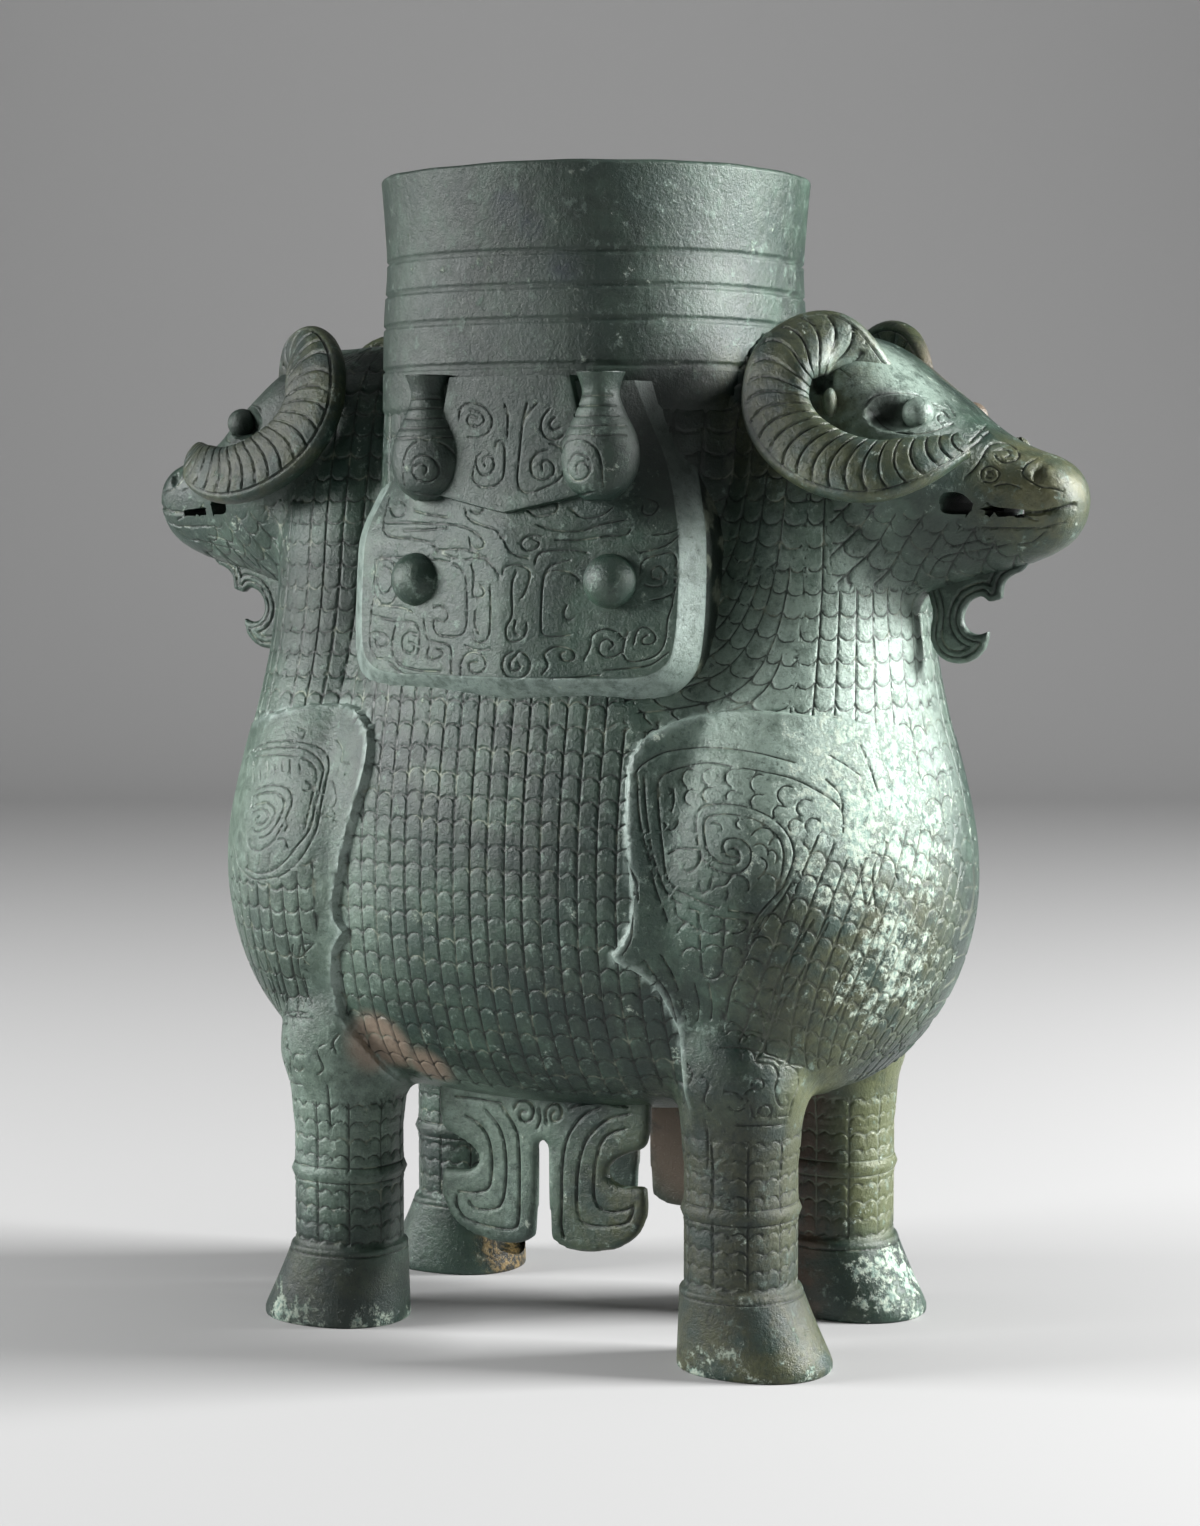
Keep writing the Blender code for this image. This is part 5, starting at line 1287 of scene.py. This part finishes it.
MASK_SIDES = between(MASK, 8)
face_points = (MASK_GRID[0] + 1) * (MASK_GRID[1] + 1)
edge_points = 2 * sum(MASK_GRID) * PALE_LAYERS
# The skirt behind the mask's bevel carries the full line mark, which paints it dark as painted shade for the gap
# behind the mask.
both('mask', slab(*MASK_GRID, mask_place, [(MASK_BEVEL * g, MASK_THICKNESS * d) for g, d in MASK_LAYERS]
                  + [(MASK_BEVEL * 0.9, 30)]), stood_on(MASK_CURVES, on_mask),
     marked=[('pale', face_points, face_points + edge_points), ('line', face_points + edge_points, None)])
both('forehead', slab(30, 40, forehead_place, [(0.3, 0.4), (0.8, FOREHEAD_STEP * 1.4), (1.0, 8)]),
     stood_on(FOREHEAD_CURVES, lambda x, z: on_mask(x, z) - FOREHEAD_STEP))
for side, label in ((-1, 'left'), (1, 'right')):
    x = side * MASK_HORN_X + MASK_OFF
    shell = loft([level_ring(x, -mask_face(MASK_HORN_X, z), z, half, MASK_HORN_HEIGHT * proud, 2, 64)
                  for z, half, proud in between(MASK_HORN, 8)])
    lines = [[(MASK_OFF + side * (MASK_OFF - x), z) for x, z in curve] for curve in MASK_HORN_CURVES]
    lines += [[(x + k, z) for k in (-12, -6, 0, 6, 12)] for z in (334.5, 338, 341.5, 345, 348.5)]
    both('mask_horn_' + label, shell, stood_on(lines, front_of(shell)))
    middle = (side * MASK_EYE_X + MASK_OFF, -mask_face(MASK_EYE_X, MASK_EYE_Z) + 1.2, MASK_EYE_Z)
    both('mask_eye_' + label, ball(middle, (9.8, 8.8, 9.8), 20))


# Horns, ears, eyes, beards and pendants

def horn_skin(count=36):
    """A curled band with ribs across it and a rim along its outer edge."""
    stations = between(HORN, 13)
    middle = stations[:, :3]
    length = np.concatenate([[0], np.cumsum(np.linalg.norm(np.diff(middle, axis=0), axis=1))])
    outward = Vector((0, -1, 0.25))
    rings, across_marks = [], []
    for index, (wide, thick) in enumerate(stations[:, 3:]):
        before, after = middle[max(index - 1, 0)], middle[min(index + 1, len(stations) - 1)]
        along = Vector(after - before).normalized()
        across = along.cross(outward).normalized()
        facing = across.cross(along).normalized()
        loop = rounded(HORN_WIDTH / 2 * wide, HORN_THICKNESS / 2 * thick, 2.6, count)
        rings.append(middle[index] + np.outer(loop[:, 0], across) + np.outer(loop[:, 1], facing))
        across_marks.append(loop[:, 0] / (HORN_WIDTH / 2 * wide))
    skin = Skin(loft(rings))
    skin.marks['along'] = np.repeat(length, count)
    skin.marks['across'] = np.concatenate(across_marks)

    def rib(s):
        value = s.marks['along'] - 5.0 * (s.marks['across'] - 0.1) ** 2
        return value - HORN_RIB * np.round(value / HORN_RIB)

    def ribbed(s):
        return (s.marks['across'][s.t].max(1) < 0.8) & (s.marks['along'][s.t].min(1) > 6)

    def rim(s):
        return (s.marks['across'] - 0.77) * HORN_WIDTH / 2

    skin.groove(rib, ribbed, 1.3, 0.75, span=HORN_RIB / 2)
    skin.groove(rim, Skin.whole, 1.2, 0.8)
    return skin


def flat_plate(outline, middle, thickness):
    """A closed plate across Y, from an outline of (x, z)."""
    near, far = middle - thickness / 2, middle + thickness / 2
    builder = bmesh.new()
    face = builder.faces.new([builder.verts.new((x * MM, near * MM, z * MM)) for x, z in outline])
    grown = bmesh.ops.extrude_face_region(builder, geom=[face])
    moved = [v for v in grown['geom'] if isinstance(v, bmesh.types.BMVert)]
    bmesh.ops.translate(builder, verts=moved, vec=(0, (far - near) * MM, 0))
    bmesh.ops.recalc_face_normals(builder, faces=builder.faces)
    bmesh.ops.triangulate(builder, faces=builder.faces)
    points = np.array([v.co for v in builder.verts]) / MM
    faces = np.array([[v.index for v in f.verts] for f in builder.faces])
    builder.free()
    return points, faces


def all_four(name, skin):
    """A piece of the +X ram's near side, its mirror image, and both half a turn round."""
    for label, flip in (('right_near', (1, 1, 1)), ('left_near', (1, -1, 1)),
                        ('right_far', HALF_TURN), ('left_far', (-1, 1, 1))):
        hand_over(name + '_' + label, turned(skin, flip))


all_four('horn', horn_skin())
all_four('ear', Skin(ball((111.8, -40.4, 346.2), (2.6, 3.0, 5.2), 16)))
all_four('eye', Skin(ball((140.2, -28.2, 342.4), (5.7, 6.0, 5.7), 20)))
beard = outline_of(BEARD)
both('beard', skin_over([flat_plate(beard, 0, BEARD_THICK)], 1.2, 4), lines=[(2.4, beard), (4.8, beard)])
hooks = [flat_plate(outline_of(PENDANT_HOOK) * (side, 1), -PENDANT_Y, PENDANT_THICK) for side in (-1, 1)]
both('pendants', skin_over(hooks, 1.45, 4),
     stood_on(PENDANT_CURVES, lambda x, z: -PENDANT_Y - PENDANT_THICK / 2), width=1.7, depth=0.9)


# Metal

class Nodes:
    """Short ways to add shader nodes. A value is a socket or a number."""

    def __init__(self, material):
        self.tree = material.node_tree
        self.place = self.add('ShaderNodeNewGeometry').outputs['Position']

    def add(self, kind, **settings):
        node = self.tree.nodes.new(kind)
        for name, value in settings.items():
            setattr(node, name, value)
        return node

    def put(self, socket, value):
        if hasattr(value, 'is_output'):
            self.tree.links.new(value, socket)
        else:
            socket.default_value = value

    def noise(self, scale, detail, roughness):
        """Noise about as large as 1 / scale metres."""
        node = self.add('ShaderNodeTexNoise')
        for name, value in (('Vector', self.place), ('Scale', scale), ('Detail', detail), ('Roughness', roughness)):
            self.put(node.inputs[name], value)
        return node.outputs[0]

    def step(self, value, low, high, start=0.0, end=1.0):
        """A smooth step from low to high."""
        node = self.add('ShaderNodeMapRange', interpolation_type='SMOOTHSTEP')
        for socket, number in zip(node.inputs, (value, low, high, start, end)):
            self.put(socket, number)
        return node.outputs[0]

    def maths(self, operation, first, *others):
        """An operation on values from left to right."""
        for other in others:
            node = self.add('ShaderNodeMath', operation=operation)
            self.put(node.inputs[0], first)
            self.put(node.inputs[1], other)
            first = node.outputs[0]
        return first

    def spots(self, name):
        """How strongly the balls of this name in SPOTS reach a place: 0 outside all of them."""
        result = []
        for middle, radius, soft, share in SPOTS[name]:
            node = self.add('ShaderNodeVectorMath', operation='DISTANCE')
            self.put(node.inputs[0], self.place)
            self.put(node.inputs[1], [c * MM for c in middle])
            reach = self.step(node.outputs['Value'], (radius - soft) * MM, (radius + soft) * MM, 1.0, 0.0)
            result.append(reach if share == 1 else self.maths('MULTIPLY', reach, share))
        return self.maths('MAXIMUM', *result)

    def mix(self, share, a, b):
        node = self.add('ShaderNodeMix', data_type='RGBA')
        for name, value in (('Factor', share), ('A', a), ('B', b)):
            self.put(node.inputs[name], value if hasattr(value, 'is_output') or name == 'Factor' else (*value, 1))
        return node.outputs['Result']

    def coat(self, under, colour, *shares):
        """A colour over another, as strong as the product of the shares."""
        return self.mix(self.maths('MULTIPLY', *shares), under, colour)


def bronze(name, olive):
    """Bronze under patina: olive is how much of the golden metal shows."""
    material = bpy.data.materials.new(name)
    material.use_nodes = True
    n = Nodes(material)
    shader = n.tree.nodes['Principled BSDF']
    line, edge = (n.add('ShaderNodeAttribute', attribute_name=mark).outputs['Fac'] for mark in ('line', 'pale'))
    broad, middle, speckle, fine, grain = (n.noise(*row) for row in (
        (13, 3, 0.6), (55, 5, 0.65), (170, 7, 0.75), (420, 6, 0.7), (1200, 3, 0.6)))
    # Blue-green patina with lighter and darker clouds
    green = n.mix(n.step(broad, 0.36, 0.64), (0.010, 0.026, 0.020), (0.024, 0.052, 0.039))
    green = n.coat(green, (0.050, 0.100, 0.076), n.step(middle, 0.45, 0.7), 0.8)
    green = n.coat(green, (0.165, 0.235, 0.190), n.spots('pale'), n.step(speckle, 0.34, 0.64, 0.35, 0.95))
    green = n.coat(green, (0.30, 0.38, 0.345), edge, n.step(speckle, 0.36, 0.6, 0.35, 0.9))
    green = n.coat(green, (0.32, 0.42, 0.36), n.spots('face'), n.step(speckle, 0.34, 0.56, 0.35, 1.0))
    # Olive metal showing through
    gold = n.mix(n.step(fine, 0.3, 0.7), (0.030, 0.034, 0.014), (0.085, 0.088, 0.032))
    colour = n.coat(green, gold, n.step(middle, 0.36, 0.58), n.maths('MAXIMUM', n.spots('olive'), olive), 0.85)
    # A painted highlight on the snout, in a light olive
    colour = n.coat(colour, (0.16, 0.165, 0.085), n.spots('snout_highlight'), n.step(middle, 0.3, 0.6, 0.3, 0.8))
    colour = n.coat(colour, (0.105, 0.120, 0.048), n.spots('legs'), n.step(middle, 0.32, 0.52, 0.35, 0.85))
    # Bright worn spots and dark pores
    colour = n.coat(colour, (0.165, 0.235, 0.195), n.step(speckle, 0.56, 0.66), 0.7)
    colour = n.coat(colour, (0.008, 0.018, 0.013), n.step(fine, 0.42, 0.32), 0.6)
    # Pale mint crust
    crust = n.maths('ADD', n.maths('MULTIPLY', n.noise(85, 9, 0.78), 0.75), n.maths('MULTIPLY', fine, 0.25))
    crust = n.step(n.maths('ADD', crust, n.maths('MULTIPLY', n.spots('crust'), 0.15)), 0.59, 0.65)
    mint = n.mix(n.step(fine, 0.4, 0.6), (0.22, 0.33, 0.28), (0.52, 0.60, 0.50))
    colour = n.coat(colour, mint, crust, 0.8)
    # A dark blue stain and a scratch on the collar
    colour = n.coat(colour, (0.014, 0.030, 0.044), n.spots('stain'), n.step(speckle, 0.4, 0.6, 0.3, 1.0))
    # A reddish patch low on the belly, brown on the far leg, tan on the far horn and the inner pendants
    colour = n.coat(colour, (0.26, 0.20, 0.15), n.spots('red'), n.step(middle, 0.30, 0.42), 0.85)
    colour = n.coat(colour, (0.085, 0.052, 0.034), n.spots('brown'), n.step(middle, 0.32, 0.48, 0.3, 1.0))
    colour = n.coat(colour, (0.20, 0.145, 0.105), n.spots('tan'), n.step(middle, 0.33, 0.5, 0.2, 1.0), 0.8)
    # Golden metal inside the broken hoof
    rough_gold = n.mix(n.step(fine, 0.45, 0.6), (0.012, 0.010, 0.006), (0.19, 0.13, 0.05))
    colour = n.coat(colour, rough_gold, n.spots('broken'), 0.9)
    # Dust and dirt with painted shade in the carved lines, and painted shade over the whole of the mask's deep skirt
    dust = n.maths('MAXIMUM', n.step(n.noise(110, 4, 0.6), 0.52, 0.66), n.spots('dust'))
    in_line = n.mix(dust, (0.006, 0.011, 0.008), (0.20, 0.23, 0.17))
    colour = n.coat(colour, in_line, n.step(line, 0.25, 0.9), 0.8)
    # Painted shadow behind the mask's right horn, painted shade in the hollows of the head and in the broken hoof,
    # and painted shade that darkens other places
    painted_shadow_and_shade = n.maths('MAXIMUM', n.maths('MULTIPLY', n.spots('painted_shadow_and_shade'), 0.85), n.spots('painted_shade'))
    n.put(shader.inputs['Base Color'], n.mix(painted_shadow_and_shade, colour, (0.004, 0.008, 0.006)))
    shader.inputs['Metallic'].default_value = 0.1
    shader.inputs['Specular IOR Level'].default_value = 0.55
    worn = n.maths('ADD', n.maths('MULTIPLY', speckle, 0.7), n.maths('MULTIPLY', crust, 0.5))
    n.put(shader.inputs['Roughness'],
          n.maths('ADD', n.step(worn, 0.2, 0.8, 0.30, 0.72), n.maths('MULTIPLY', painted_shadow_and_shade, 0.3)))
    bump = n.add('ShaderNodeBump')
    bump.inputs['Strength'].default_value = 0.8
    bump.inputs['Distance'].default_value = 0.0006
    n.put(bump.inputs['Height'], n.maths('ADD', *(n.maths('MULTIPLY', value, share) for value, share in (
        (speckle, 1.1), (fine, 0.7), (grain, 0.3), (crust, 0.35)))))
    n.put(shader.inputs['Normal'], bump.outputs[0])
    return material


METAL, GOLDEN = bronze('bronze', 0.14), bronze('bronze_golden', 0.8)
for piece in PIECES:
    piece.data.materials.append(GOLDEN if piece.name.startswith('horn') else METAL)
    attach(piece, 'root')
    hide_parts('vessel')


# Floor, light and camera

def stage():
    """A pale plain floor that curves up behind."""
    profile = [(-6.0, 0.0)]
    for step in range(25):
        angle = math.pi / 2 * step / 24
        profile.append((2.2 + 1.2 * math.sin(angle), 1.2 * (1 - math.cos(angle))))
    builder = bmesh.new()
    c, s = math.cos(CAMERA_TURN), math.sin(CAMERA_TURN)
    lines = [[builder.verts.new((c * a - s * away, s * a + c * away, up)) for a in (-6, 6)]
             for away, up in profile + [(3.4, 5.0)]]
    for a, b in zip(lines, lines[1:]):
        builder.faces.new((a[0], a[1], b[1], b[0]))
    mesh = bpy.data.meshes.new('floor')
    builder.to_mesh(mesh)
    builder.free()
    mesh.shade_smooth()
    item = bpy.data.objects.new('floor', mesh)
    bpy.context.scene.collection.objects.link(item)
    material = bpy.data.materials.new('floor')
    material.use_nodes = True
    shader = material.node_tree.nodes['Principled BSDF']
    shader.inputs['Base Color'].default_value = (0.42, 0.42, 0.42, 1)
    shader.inputs['Roughness'].default_value = 0.9
    mesh.materials.append(material)


def lamp(name, place, aim, size, power):
    data = bpy.data.lights.new(name, 'AREA')
    data.energy = power
    data.size = size
    item = bpy.data.objects.new(name, data)
    right, front, up = place
    item.location = RIGHT * right + FRONT * front + UP * up
    item.rotation_euler = (Vector(aim) - item.location).to_track_quat('-Z', 'Y').to_euler()
    bpy.context.scene.collection.objects.link(item)


def camera():
    """The place the photo was taken from."""
    turn, pitch = CAMERA_TURN, CAMERA_PITCH
    forward = Vector((-math.sin(turn) * math.cos(pitch), math.cos(turn) * math.cos(pitch), -math.sin(pitch)))
    up = RIGHT.cross(forward)
    data = bpy.data.cameras.new('camera')
    data.sensor_width = 36
    data.lens = 75.26
    data.shift_x = 0.00236
    item = bpy.data.objects.new('camera', data)
    place = Matrix.Identity(4)
    for k in range(3):
        place[k][0], place[k][1], place[k][2] = RIGHT[k], up[k], -forward[k]
    place[0][3], place[1][3] = math.sin(turn) * CAMERA_AWAY, -math.cos(turn) * CAMERA_AWAY
    place[2][3] = CAMERA_HEIGHT
    item.matrix_world = place
    bpy.context.scene.collection.objects.link(item)
    bpy.context.scene.camera = item


RIGHT = Vector((math.cos(CAMERA_TURN), math.sin(CAMERA_TURN), 0))
FRONT = Vector((math.sin(CAMERA_TURN), -math.cos(CAMERA_TURN), 0))
UP = Vector((0, 0, 1))
stage()
camera()
for row in LAMPS:
    lamp(*row)
world = bpy.data.worlds.new('world')
world.use_nodes = True
world.node_tree.nodes['Background'].inputs['Color'].default_value = (1, 1, 1, 1)
world.node_tree.nodes['Background'].inputs['Strength'].default_value = 0.035
bpy.context.scene.world = world
bpy.context.scene.view_settings.view_transform = 'Standard'
